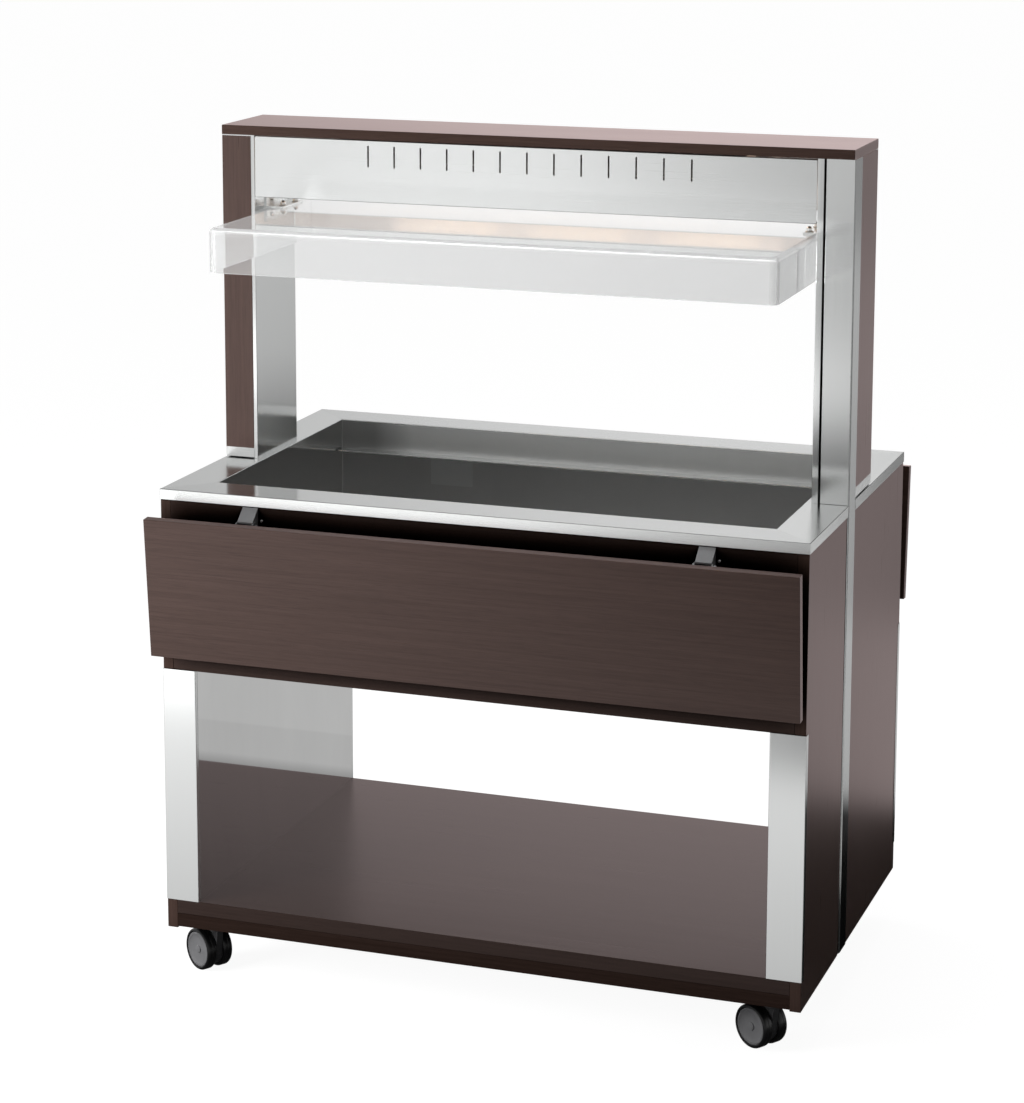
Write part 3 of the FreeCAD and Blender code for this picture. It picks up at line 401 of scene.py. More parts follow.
def clear_sheet(name, clearness):
    """Clear bent plastic with a light milky veil, lifted by a faint painted white glow, and a few fine
    wiping marks.
    """
    # Painted glow: a faint white emission on every face of the guard.
    look = Recipe(name, Transmission_Weight=clearness, IOR=1.49, Emission_Color=WHITE,
                  Emission_Strength=0.05)
    look.give("Base Color", finish().guard)
    wipes = look.noise((5, 2, 5), 3, 0.5, 0.4)
    look.give("Roughness", look.spread(wipes, 0.5, 0.8, 0.0, 0.012))
    return look.material


def glowing(name, colour, strength):
    """Warm lamp glass, with finer and brighter lines along it."""
    look = Recipe(name, Roughness=0.25, Emission_Strength=strength)
    filament = look.noise((40, 260, 260), 2, 0.5)
    tone = look.blend(look.spread(filament, 0.35, 0.65), colour, scaled(colour, 1.25))
    look.give("Base Color", tone)
    look.give("Emission Color", tone)
    return look.material


def make_materials():
    """Every material of the trolley, by a short name."""
    f = finish()
    return {
        # A shade below one makes darker copies of the one laminate: painted shade. Sheltered boards get
        # painted shade in their corners as well.
        "shelf": laminate("laminate_shelf", "x", shade=0.5, gloss=1.8),
        "post": laminate("laminate_posts", "z", gloss=1.12, matt=0.0),
        "flap": laminate("laminate_flaps", "x", shade=0.92, gloss=1.0, matt=0.0),
        "side": laminate("laminate_upright", "z", sheltered=True, gloss=1.08),
        "canopy": laminate("laminate_canopy", "x", gloss=1.26),
        "apron": laminate("laminate_aprons", "x", shade=0.72, sheltered=True),
        "rail": laminate("laminate_base_rails", "x", shade=0.5, sheltered=True, gloss=0.2),
        "hidden": laminate("laminate_inside", "x", shade=0.8),
        "steel_x": brushed("steel_lengthwise", "x"),
        "steel_y": brushed("steel_crosswise", "y"),
        "steel_z": brushed("steel_upright", "z", 1.0, -0.06),
        # Tones other than one make copies of the one steel: a painted highlight on the counter's outer
        # faces, and painted shade on the strips, the sheet beside the lamps, the counter's tops, the ledges,
        # the cover and the folds.
        "strip": brushed("steel_strip", "z", 0.84, -0.06),
        "panel": brushed("steel_post_panel", "z", 1.0, -0.12),
        "lit": brushed("steel_with_painted_lamp_glow", "x", 0.95, painted_lamp_glow=0.24),
        "rim_x": brushed("steel_rim_lengthwise", "x", 0.94, -0.12),
        "rim_y": brushed("steel_rim_crosswise", "y", 0.94, -0.12),
        "rim_x_outer": brushed("steel_rim_front_and_rear", "x", 1.2, -0.06),
        "rim_y_outer": brushed("steel_rim_ends", "y", 1.05, -0.06),
        "tub": deep_steel("steel_tub"),
        "ledge": brushed("steel_ledge", "x", 0.80, -0.10),
        "cover": brushed("steel_cover", "z", 0.86, 0.10),
        "fold": brushed("steel_fold_painted_shade", "x", 0.30, 0.10),
        "mirror": polished("steel_mirror", (0.68, 0.68, 0.675), 0.03, 0.01),
        "reflector": aluminium_with_painted_glow("aluminium_reflector", (0.86, 0.82, 0.78)),
        "bright": polished("bright_fixings", (0.78, 0.78, 0.77), 0.12, 0.05),
        "zinc": coated("zinc_coat", (0.27, 0.27, 0.275), 0.38, 1400, 0.12, 0.75),
        "heater": coated("heater_plate", (0.50, 0.50, 0.51), 0.45, 300, 0.2, 0.9),
        "wool": coated("insulation", (0.66, 0.58, 0.40), 0.9, 180, 0.9),
        "rubber": coated("tyre_rubber", f.rubber, 0.34, 1500, 0.12),
        "wheel": coated("wheel_disc", f.wheel_grey, 0.42, 1300, 0.12),
        "hood": coated("caster_hood", f.hood_grey, 0.5, 1100, 0.2),
        "black": coated("black_moulding", (0.012, 0.012, 0.013), 0.5, 1600, 0.2),
        "rocker": coated("black_gloss", (0.010, 0.010, 0.011), 0.18, 1200, 0.03),
        "socket": coated("lamp_socket", (0.78, 0.76, 0.72), 0.5, 900, 0.15),
        "guard": clear_sheet("clear_guard", f.guard_clearness),
        "guard_edge": clear_sheet("clear_guard_edge", f.guard_clearness * 0.86),
        "lamp": glowing("lamp_glass", (1.0, 0.66, 0.42), 3.5),
    }


MATERIALS = {}


def look(name):
    if not MATERIALS:
        MATERIALS.update(make_materials())
    return MATERIALS[name]


# ---------------------------------------------------------------- mesh helpers

def dress(node, material):
    """Gives a CAD node a better material."""
    slots = frame["nodes"][node].data.materials
    slots.clear()
    slots.append(look(material))


def from_node(node):
    """A merged copy of a CAD node's mesh, with its flat faces joined."""
    mesh = bmesh.new()
    mesh.from_mesh(frame["nodes"][node].data)
    bmesh.ops.remove_doubles(mesh, verts=mesh.verts, dist=0.01 * MM)
    bmesh.ops.dissolve_limit(mesh, angle_limit=math.radians(0.4), verts=mesh.verts, edges=mesh.edges,
                             delimit=set())
    return mesh


def edge_turn(edge):
    return edge.calc_face_angle(0.0)


def sharp_edges(mesh, least=35.0, wanted=None):
    """Edges where the surface turns by more than the least angle, in degrees."""
    return [e for e in mesh.edges if edge_turn(e) > math.radians(least) and (wanted is None or wanted(e))]


def runs_along(edge, axis):
    run = (edge.verts[1].co - edge.verts[0].co).normalized()
    return abs(run[AXES[axis]]) > 0.999


def upright_edges(mesh):
    return sharp_edges(mesh, wanted=lambda e: runs_along(e, "z"))


def round_edges(mesh, edges, radius, segments=2):
    bmesh.ops.bevel(mesh, geom=edges, offset=radius, offset_type="OFFSET", segments=segments,
                    affect="EDGES", profile=0.5, material=-1, clamp_overlap=True)


def add_box(mesh, low, high):
    """A box between two corners."""
    low, high = Vector(low), Vector(high)
    size = Matrix.Diagonal((*(high - low), 1))
    return bmesh.ops.create_cube(mesh, size=1.0, matrix=Matrix.Translation((low + high) / 2) @ size)["verts"]


def add_lathe(mesh, profile, steps, turn):
    """Spins a profile of (radius, distance along the axis) pairs about the local Y axis."""
    verts = [mesh.verts.new((0, distance, radius)) for radius, distance in profile]
    edges = [mesh.edges.new(pair) for pair in zip(verts, verts[1:])]
    made = bmesh.ops.spin(mesh, geom=verts + edges, cent=(0, 0, 0), axis=(0, 1, 0), angle=math.tau,
                          steps=steps, use_merge=True)
    last = [item for item in made["geom_last"] if isinstance(item, bmesh.types.BMVert)]
    linked = grown(verts + last)
    poles = [v for v in linked if math.hypot(v.co.x, v.co.z) < TINY]
    bmesh.ops.remove_doubles(mesh, verts=poles, dist=TINY)
    linked = grown([v for v in linked if v.is_valid])
    faces = {f for v in linked for f in v.link_faces}
    bmesh.ops.recalc_face_normals(mesh, faces=list(faces))
    bmesh.ops.transform(mesh, matrix=turn, verts=linked)
    return linked


def grown(verts):
    """Every vertex that is joined to these."""
    seen = set(verts)
    edge = list(verts)
    while edge:
        vert = edge.pop()
        for link in vert.link_edges:
            other = link.other_vert(vert)
            if other not in seen:
                seen.add(other)
                edge.append(other)
    return list(seen)


def arc(centre, radius, start, end, steps):
    """Points of an arc, with angles in degrees."""
    points = []
    for step in range(steps + 1):
        angle = math.radians(start + (end - start) * step / steps)
        points.append((centre[0] + radius * math.cos(angle), centre[1] + radius * math.sin(angle)))
    return points


def paint(verts, index):
    """Gives the faces of these vertices one of the piece's materials."""
    for face in {f for v in verts for f in v.link_faces}:
        face.material_index = index


def keep(mesh, name, body, materials, replaced, smooth=32.0):
    """Turns a bmesh into a finished piece that rides on a body."""
    for face in mesh.faces:
        face.smooth = True
    for edge in mesh.edges:
        edge.smooth = edge_turn(edge) < math.radians(smooth)
    data = bpy.data.meshes.new(name)
    mesh.to_mesh(data)
    mesh.free()
    for material in materials:
        data.materials.append(look(material))
    piece = bpy.data.objects.new(name, data)
    bpy.context.scene.collection.objects.link(piece)
    shading = piece.modifiers.new("even shading", "WEIGHTED_NORMAL")
    shading.keep_sharp = True
    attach(piece, body)
    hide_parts(*replaced)


def keep_rounded(node, name, body, material, radius, segments=2, least=35.0):
    """A finished piece from a CAD node, with every sharp edge rounded."""
    mesh = from_node(node)
    round_edges(mesh, sharp_edges(mesh, least), radius, segments)
    keep(mesh, name, body, [material], [node])


def joint(name):
    return next(j for j in frame["joints"] if j["name"] == name)


# ---------------------------------------------------------------- pieces

class TROLLEY_OT_boards(bpy.types.Operator):
    """Dress the wood-grain boards, each with its grain along its length"""

    bl_idname = "trolley.boards"
    bl_label = "Boards"

    def execute(self, context):
        dress("canopy_board", "canopy")
        dress("shelf_board", "shelf")
        dress("flap_front", "flap")
        dress("flap_rear", "flap")
        for end in ENDS:
            dress(f"apron_{end}", "apron")
        for side in SIDES:
            dress(f"post_board_{side}", "post")
            for end in ENDS:
                dress(f"side_panel_{side}_{end}", "side")
        dress("base_frame", "rail")
        dress("box_bottom", "hidden")
        dress("lining_boards", "hidden")
        return {"FINISHED"}


def outside(edge, axis, sign, place):
    """Whether an edge lies on the outer plane at a place along one axis."""
    return all(v.co[AXES[axis]] * sign > place - HAIR for v in edge.verts)


def off_middle(edge, axis, distance):
    """Whether an edge lies at a distance from the trolley's middle along one axis, on either side."""
    return all(abs(abs(v.co[AXES[axis]]) - distance) < HAIR for v in edge.verts)


def reaches(low, high, axis):
    """How far a piece's inner and outer sides are from the trolley's middle along one axis."""
    return sorted((abs(low[AXES[axis]]), abs(high[AXES[axis]])))


def make_rim(name, across, sign):
    """A side of the counter frame: the fold along its outer edge and round the well is rounded."""
    node = f"rim_{name}"
    mesh = from_node(node)
    low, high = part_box(node)
    inner, outer = reaches(low, high, across)
    folds = [e for e in sharp_edges(mesh) if outside(e, across, sign, outer) and outside(e, "z", 1, high.z)]
    round_edges(mesh, folds, detail().sheet_bend, 4)
    lip = [e for e in sharp_edges(mesh) if outside(e, "z", 1, high.z) and off_middle(e, across, inner)]
    round_edges(mesh, lip, 0.9 * MM, 3)
    # Painted light: the outer faces get a lighter copy of the steel, a painted highlight; the rounded bend
    # gets the dark fold copy and the top a slightly darker copy, both painted shade.
    for face in mesh.faces:
        outward = face.normal[AXES[across]] * sign
        face.material_index = 2 if outward > 0.95 else int(0.3 < outward)
    top = "rim_y" if across == "x" else "rim_x"
    keep(mesh, f"counter_{name}", FIXED, [top, "fold", top + "_outer"], [node])


class TROLLEY_OT_counter(bpy.types.Operator):
    """Make the four mitred sides of the counter frame"""

    bl_idname = "trolley.counter"
    bl_label = "Counter frame"

    def execute(self, context):
        for end, sign in ENDS.items():
            make_rim(end, "y", sign)
        for side, sign in SIDES.items():
            make_rim(side, "x", sign)
        return {"FINISHED"}


class TROLLEY_OT_well(bpy.types.Operator):
    """Make the pan well with pressed corners, its ledges and cover plate, and dress what lies below"""

    bl_idname = "trolley.well"
    bl_label = "Pan well"

    def execute(self, context):
        mesh = from_node("well_tub")
        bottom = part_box("well_tub")[0].z
        corners = [e for e in sharp_edges(mesh) if runs_along(e, "z")]
        floor = [e for e in sharp_edges(mesh) if all(v.co.z < bottom + 2 * MM for v in e.verts)]
        round_edges(mesh, list(set(corners + floor)), 1.2 * MM, 3)
        keep(mesh, "pan_well", FIXED, ["tub"], ["well_tub"])
        keep_rounded("well_ledges", "pan_ledges", FIXED, "ledge", 0.8 * MM, 3)
        self.make_cover()
        dress("heating_plates", "heater")
        dress("insulation_boards", "wool")
        return {"FINISHED"}

    def make_cover(self):
        mesh = from_node("well_cover_plate")
        round_edges(mesh, sharp_edges(mesh, wanted=lambda e: runs_along(e, "y")), 3 * MM, 4)
        round_edges(mesh, sharp_edges(mesh), 0.3 * MM, 2)
        keep(mesh, "well_cover", FIXED, ["cover"], ["well_cover_plate"])


def add_pan_screw(mesh, turn, radius, index):
    """A pan head with a cross recess, its seat at the local origin and its crown towards local +Y."""
    rise = 0.62 * radius
    profile = [(radius, 0), (radius, rise * 0.35), (radius * 0.9, rise * 0.72), (radius * 0.62, rise * 0.95),
               (radius * 0.5, rise), (radius * 0.28, rise), (radius * 0.2, rise * 0.45), (0, rise * 0.4)]
    paint(add_lathe(mesh, profile, 24, turn), index)


class TROLLEY_OT_linings(bpy.types.Operator):
    """Dress the mirror linings and make the folded caps on the wall ends"""

    bl_idname = "trolley.linings"
    bl_label = "Compartment walls"

    def execute(self, context):
        for side in SIDES:
            dress(f"lining_{side}", "mirror")
        mesh = from_node("wall_caps")
        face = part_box("wall_caps")[1].y
        round_edges(mesh, [e for e in upright_edges(mesh) if off_middle(e, "y", face)], 1.6 * MM, 4)
        round_edges(mesh, upright_edges(mesh), 0.3 * MM, 2)
        keep(mesh, "wall_end_caps", FIXED, ["steel_z"], ["wall_caps"])
        return {"FINISHED"}


class TROLLEY_OT_posts(bpy.types.Operator):
    """Make the uprights, the folded inner panels of the posts and their plinths"""

    bl_idname = "trolley.posts"
    bl_label = "Posts"

    def execute(self, context):
        for side in SIDES:
            self.make_upright(side)
            self.make_panel(side)
        mesh = from_node("post_plinths")
        round_edges(mesh, upright_edges(mesh), 0.9 * MM, 3)
        round_edges(mesh, sharp_edges(mesh), 0.3 * MM, 2)
        keep(mesh, "plinths", FIXED, ["steel_x"], ["post_plinths"])
        return {"FINISHED"}

    def make_upright(self, side):
        node = f"upright_{side}"
        mesh = from_node(node)
        round_edges(mesh, upright_edges(mesh), 0.7 * MM, 3)
        outer = reaches(*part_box(node), "x")[1]
        for face in mesh.faces:
            # Painted shade: the outer strip gets a darker copy of the steel.
            face.material_index = int(all(abs(v.co.x) > outer - 2.5 * MM for v in face.verts))
        keep(mesh, f"steel_{node}", FIXED, ["steel_z", "strip"], [node])

    def make_panel(self, side):
        node = f"post_panel_{side}"
        mesh = from_node(node)
        inner = reaches(*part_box(node), "x")[0]
        folds = [e for e in upright_edges(mesh) if off_middle(e, "x", inner)]
        round_edges(mesh, folds, detail().sheet_bend, 4)
        round_edges(mesh, sharp_edges(mesh), detail().sheet_edge, 2)
        keep(mesh, f"steel_{node}", FIXED, ["panel"], [node])


class TROLLEY_OT_fascias(bpy.types.Operator):
    """Make the slotted fascias with rounded folds and slot ends"""

    bl_idname = "trolley.fascias"
    bl_label = "Fascias"

    def execute(self, context):
        for end in ENDS:
            self.make_fascia(f"fascia_{end}")
        return {"FINISHED"}

    def make_fascia(self, node):
        mesh = from_node(node)
        low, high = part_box(node)
        front = reaches(low, high, "y")[1]
        slots_from, slots_to = low.z + 20 * MM, high.z - 4 * MM
        slots = [e for e in sharp_edges(mesh) if runs_along(e, "y") and e.calc_length() < 3 * MM
                 and all(slots_from < v.co.z < slots_to for v in e.verts)]
        round_edges(mesh, slots, detail().slot_end, 4)
        folds = [e for e in sharp_edges(mesh) if runs_along(e, "x") and off_middle(e, "y", front)
                 and (outside(e, "z", 1, high.z) or outside(e, "z", -1, -low.z))]
        round_edges(mesh, folds, 1.7 * MM, 4)
        # Faces turned inward, towards the lamps, get the sheet with the painted lamp glow. The slots' walls
        # are painted black and the downward bends get the dark fold copy of the steel: painted shade.
        for face in mesh.faces:
            inward = -face.normal.y if low.y + high.y > 0 else face.normal.y
            bent = -0.96 < face.normal.z < -0.2
            in_slot = abs(face.normal.y) < 0.5 and slots_from < face.calc_center_median().z < slots_to
            face.material_index = 2 if inward > 0.95 else 3 if in_slot else int(bent)
        keep(mesh, f"slotted_{node}", FIXED, ["steel_x", "fold", "lit", "black"], [node])


class TROLLEY_OT_lamps(bpy.types.Operator):
    """Make the lamps with their sockets, and dress their reflector"""

    bl_idname = "trolley.lamps"
    bl_label = "Lamps"

    def execute(self, context):
        dress("lamp_reflector", "reflector")
        low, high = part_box("heat_lamps")
        mesh = bmesh.new()
        tube, socket, count = 190.67 * MM, 18 * MM, 3
        pitch = (high.x - low.x - tube - 2 * socket) / (count - 1)
        level = low.z + 9 * MM
        for step in range(count):
            middle = (step - (count - 1) / 2) * pitch
            turn = Matrix.Translation((middle, 0, level)) @ Matrix.Rotation(math.pi / 2, 4, "Z")
            half = tube / 2
            profile = [(0, -half), (2.5 * MM, -half), (4 * MM, 6 * MM - half), (6 * MM, 10 * MM - half),
                       (6 * MM, half - 10 * MM), (4 * MM, half - 6 * MM), (2.5 * MM, half), (0, half)]
            paint(add_lathe(mesh, profile, 32, turn), 0)
            for sign in (-1, 1):
                near, far = sorted((sign * half, sign * (half + socket)))
                block = add_box(mesh, (middle + near, low.y, level - 9 * MM), (middle + far, high.y, high.z))
                edges = list({e for v in block for e in v.link_edges})
                paint(block, 1)
                round_edges(mesh, edges, 1.6 * MM, 3)
        keep(mesh, "lamps", FIXED, ["lamp", "socket"], ["heat_lamps"])
        return {"FINISHED"}


class TROLLEY_OT_guard(bpy.types.Operator):
    """Make the clear guard, bent from one sheet, with its angles, bolts and screws"""

    bl_idname = "trolley.guard"
    bl_label = "Guard"

    def execute(self, context):
        self.make_sheet()
        mesh = from_node("guard_brackets")
        straight = sharp_edges(mesh, wanted=lambda e: any(runs_along(e, axis) for axis in AXES))
        round_edges(mesh, straight, 0.5 * MM, 2)
        keep(mesh, "guard_angles", FIXED, ["steel_y"], ["guard_brackets"])
        self.make_bolts()
        return {"FINISHED"}

    def make_sheet(self):
        low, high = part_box("guard")
        corner_bend, top_bend = 14 * MM, 9 * MM
        mesh = bmesh.new()
        add_box(mesh, low, high)
        upright = [e for e in mesh.edges if runs_along(e, "z") and e.verts[0].co.y < 0]
        round_edges(mesh, upright, corner_bend, 8)
        top = [e for e in mesh.edges if edge_turn(e) > math.radians(60)
               and all(v.co.z > high.z - 0.1 * MM for v in e.verts)
               and not all(v.co.y > high.y - 0.1 * MM for v in e.verts)]
        round_edges(mesh, top, top_bend, 8)
        open_faces = [f for f in mesh.faces if f.normal.z < -0.99 or f.normal.y > 0.99]
        bmesh.ops.delete(mesh, geom=open_faces, context="FACES")
        bmesh.ops.recalc_face_normals(mesh, faces=mesh.faces[:])
        outward = max(mesh.faces, key=lambda f: f.calc_center_median().z)
        if outward.normal.z < 0:
            bmesh.ops.reverse_faces(mesh, faces=mesh.faces[:])
        bmesh.ops.solidify(mesh, geom=mesh.faces[:], thickness=GUARD_SHEET)
        round_edges(mesh, sharp_edges(mesh, 60), 0.5 * MM, 2)
        for face in mesh.faces:
            bent = max(abs(value) for value in face.normal) < 0.999
            cut = all(v.co.z < low.z + 1 * MM or v.co.y > high.y - 1 * MM for v in face.verts)
            face.material_index = int(bent or cut)
        keep(mesh, "clear_guard", FIXED, ["guard", "guard_edge"], ["guard"])

    def make_bolts(self):
        """Round heads below the sheet, dome nuts above the angle, and pan screws into the posts."""
        mesh = bmesh.new()
        low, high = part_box("guard_brackets")
        guard_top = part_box("guard")[1].z
        angle_sheet, bolt_inset = 3 * MM, 27 * MM
        bolt_spread, screw_spread = 28.5 * MM, 23 * MM
        angle_top, guard_under = guard_top + angle_sheet, guard_top - GUARD_SHEET
        round_head = [(0, 0), (5.5 * MM, 0), (5.5 * MM, 1.2 * MM), (4.8 * MM, 2.8 * MM),
                      (3 * MM, 3.8 * MM), (0, 4 * MM)]
        middle = (low.y + high.y) / 2
        for sign in (-1, 1):
            for step in (-1, 1):
                x, y = sign * (high.x - bolt_inset), middle + step * bolt_spread
                add_dome_nut(mesh, Matrix.Translation((x, y, angle_top)))
                under = Matrix.Translation((x, y, guard_under))
                add_lathe(mesh, round_head, 32, under @ Matrix.Rotation(-math.pi / 2, 4, "X"))
                face = Matrix.Translation((sign * (high.x - angle_sheet), middle + step * screw_spread,
                                           (angle_top + high.z) / 2))
                add_pan_screw(mesh, face @ Matrix.Rotation(sign * math.pi / 2, 4, "Z"), 4 * MM, 0)
        keep(mesh, "guard_fixings", FIXED, ["bright"], ["guard_bolts"])


def add_dome_nut(mesh, seat):
    """A washer, a hexagon and a dome on it, standing on the seat along local Z."""
    upright = seat @ Matrix.Rotation(math.pi / 2, 4, "X")
    washer = [(0, 0), (7 * MM, 0), (7.3 * MM, 0.3 * MM), (7.3 * MM, 0.9 * MM), (7 * MM, 1.2 * MM),
              (0, 1.2 * MM)]
    add_lathe(mesh, washer, 40, upright)
    made = bmesh.ops.create_cone(mesh, cap_ends=True, segments=6, radius1=5.4 * MM, radius2=5.4 * MM,
                                 depth=3.6 * MM, matrix=seat @ Matrix.Translation((0, 0, 3.0 * MM)))
    edges = list({e for v in made["verts"] for e in v.link_edges})
    round_edges(mesh, edges, 0.4 * MM, 2)
    dome = [(4.3 * MM, 4.6 * MM)] + arc((0, 4.8 * MM), 4.3 * MM, 0, 90, 8)
    add_lathe(mesh, [(max(r, 0.0), z) for r, z in dome], 32, upright)


class TROLLEY_OT_shelf_brackets(bpy.types.Operator):
    """Make the legs, arms and stays that carry the fold-down shelves"""

    bl_idname = "trolley.shelf_brackets"
    bl_label = "Shelf brackets"

    def execute(self, context):
        pieces = {"bracket_legs": FIXED}
        for end in ENDS:
            pieces[f"bracket_arms_{end}"] = f"{end}_shelf"
            pieces[f"stays_{end}"] = f"{end}_stay_pair"
        for node, body in pieces.items():
            mesh = from_node(node)
            round_edges(mesh, sharp_edges(mesh, 50), 0.35 * MM, 2)
            if node == "bracket_legs":
                self.add_leg_screws(mesh)
            keep(mesh, f"folded_{node}", body, ["zinc", "bright"], [node])
        return {"FINISHED"}

    def add_leg_screws(self, mesh):
        """Pan screws through the web of each leg, and one into the apron beside it."""
        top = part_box("bracket_legs")[1].z
        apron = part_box("apron_front")[0].y
        leg_x, leg_sheet = 401 * MM, 1.5 * MM
        beside_leg, beside_drop = 20.5 * MM, 22 * MM
        for sign in (-1, 1):
            turn = Matrix() if sign > 0 else Matrix.Rotation(math.pi, 4, "Z")
            for x in (-leg_x, leg_x):
                for drop in (30 * MM, 90 * MM, 170 * MM):
                    seat = Matrix.Translation((x, -sign * (apron - leg_sheet), top - drop))
                    add_pan_screw(mesh, seat @ turn, 3.6 * MM, 1)
                beside = Matrix.Translation((x - sign * beside_leg, -sign * apron, top - beside_drop))
                add_pan_screw(mesh, beside @ turn, 3 * MM, 1)


class TROLLEY_OT_casters(bpy.types.Operator):
    """Make the four twin-wheel casters"""

    bl_idname = "trolley.casters"
    bl_label = "Casters"

    def execute(self, context):
        keep_rounded("caster_plates", "caster_plate_set", FIXED, "zinc", 0.5 * MM)
        for corner in CORNERS:
            roll = joint(f"roll_{corner}")
            axle = Vector(roll["axis"]).normalized()
            heading = Matrix.Rotation(-math.atan2(axle.x, axle.y), 4, "Z")
            self.make_wheels(corner, Matrix.Translation(Vector(roll["pos_m"])) @ heading)
            node = f"caster_hood_{corner}"
            keep_rounded(node, f"moulded_{node}", f"swivel_{corner}", "hood", 0.8 * MM, 3, 50)
        return {"FINISHED"}

    def make_wheels(self, corner, turn):
        """Tyres with a rounded tread, and dished discs with a cap over the axle's end."""
        low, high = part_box(f"caster_tyres_{corner}")
        radius = (high.z - low.z) / 2
        inner = radius - 6 * MM
        near, far, shoulder = 7 * MM, 26 * MM, 4.5 * MM
        middle = (near + far) / 2
        sides = (turn, turn @ Matrix.Rotation(math.pi, 4, "Z"))
        half = [(inner, near + 0.8 * MM)] + arc((radius - shoulder, near + shoulder), shoulder, -90, 0, 6)
        half += [(radius, middle - 1.2 * MM), (radius - detail().tyre_groove, middle - 0.5 * MM)]
        other = [(r, 2 * middle - d) for r, d in reversed(half)]
        tyres = bmesh.new()
        for side in sides:
            add_lathe(tyres, half + other + [half[0]], 72, side)
        keep(tyres, f"tyres_{corner}", f"wheels_{corner}", ["rubber"], [f"caster_tyres_{corner}"])

        dish, rim = detail().hub_dish, far - 1.2 * MM
        face = [(0, rim), (5.5 * MM, rim), (6.6 * MM, rim - 0.5 * MM), (7.2 * MM, rim - dish),
                (13 * MM, rim - dish - 0.5 * MM), (21 * MM, rim - dish - 0.2 * MM),
                (26.5 * MM, rim - dish * 0.45), (27.6 * MM, rim), (30.4 * MM, rim), (inner, rim - 0.9 * MM),
                (inner, near + 1.2 * MM), (8 * MM, near + 1.2 * MM), (8 * MM, near + 0.4 * MM),
                (4 * MM, near + 0.4 * MM), (4 * MM, 0)]
        discs = bmesh.new()
        for side in sides:
            add_lathe(discs, face, 72, side)
        bmesh.ops.remove_doubles(discs, verts=discs.verts, dist=0.01 * MM)
        keep(discs, f"wheel_discs_{corner}", f"wheels_{corner}", ["wheel"],
             [f"caster_hubs_{corner}"])


class TROLLEY_OT_switch(bpy.types.Operator):
    """Make the lamp switch and the power inlet"""

    bl_idname = "trolley.switch"
    bl_label = "Switch and inlet"

    def execute(self, context):
        keep_rounded("switch_frame", "switch_bezel", FIXED, "black", 0.4 * MM)
        keep_rounded("switch_rocker", "switch_key", "lamp_rocker", "rocker", 0.5 * MM, 3, 20)
        keep_rounded("power_inlet", "inlet_socket", FIXED, "black", 0.5 * MM, 3, 50)
        return {"FINISHED"}


# ---------------------------------------------------------------- stage

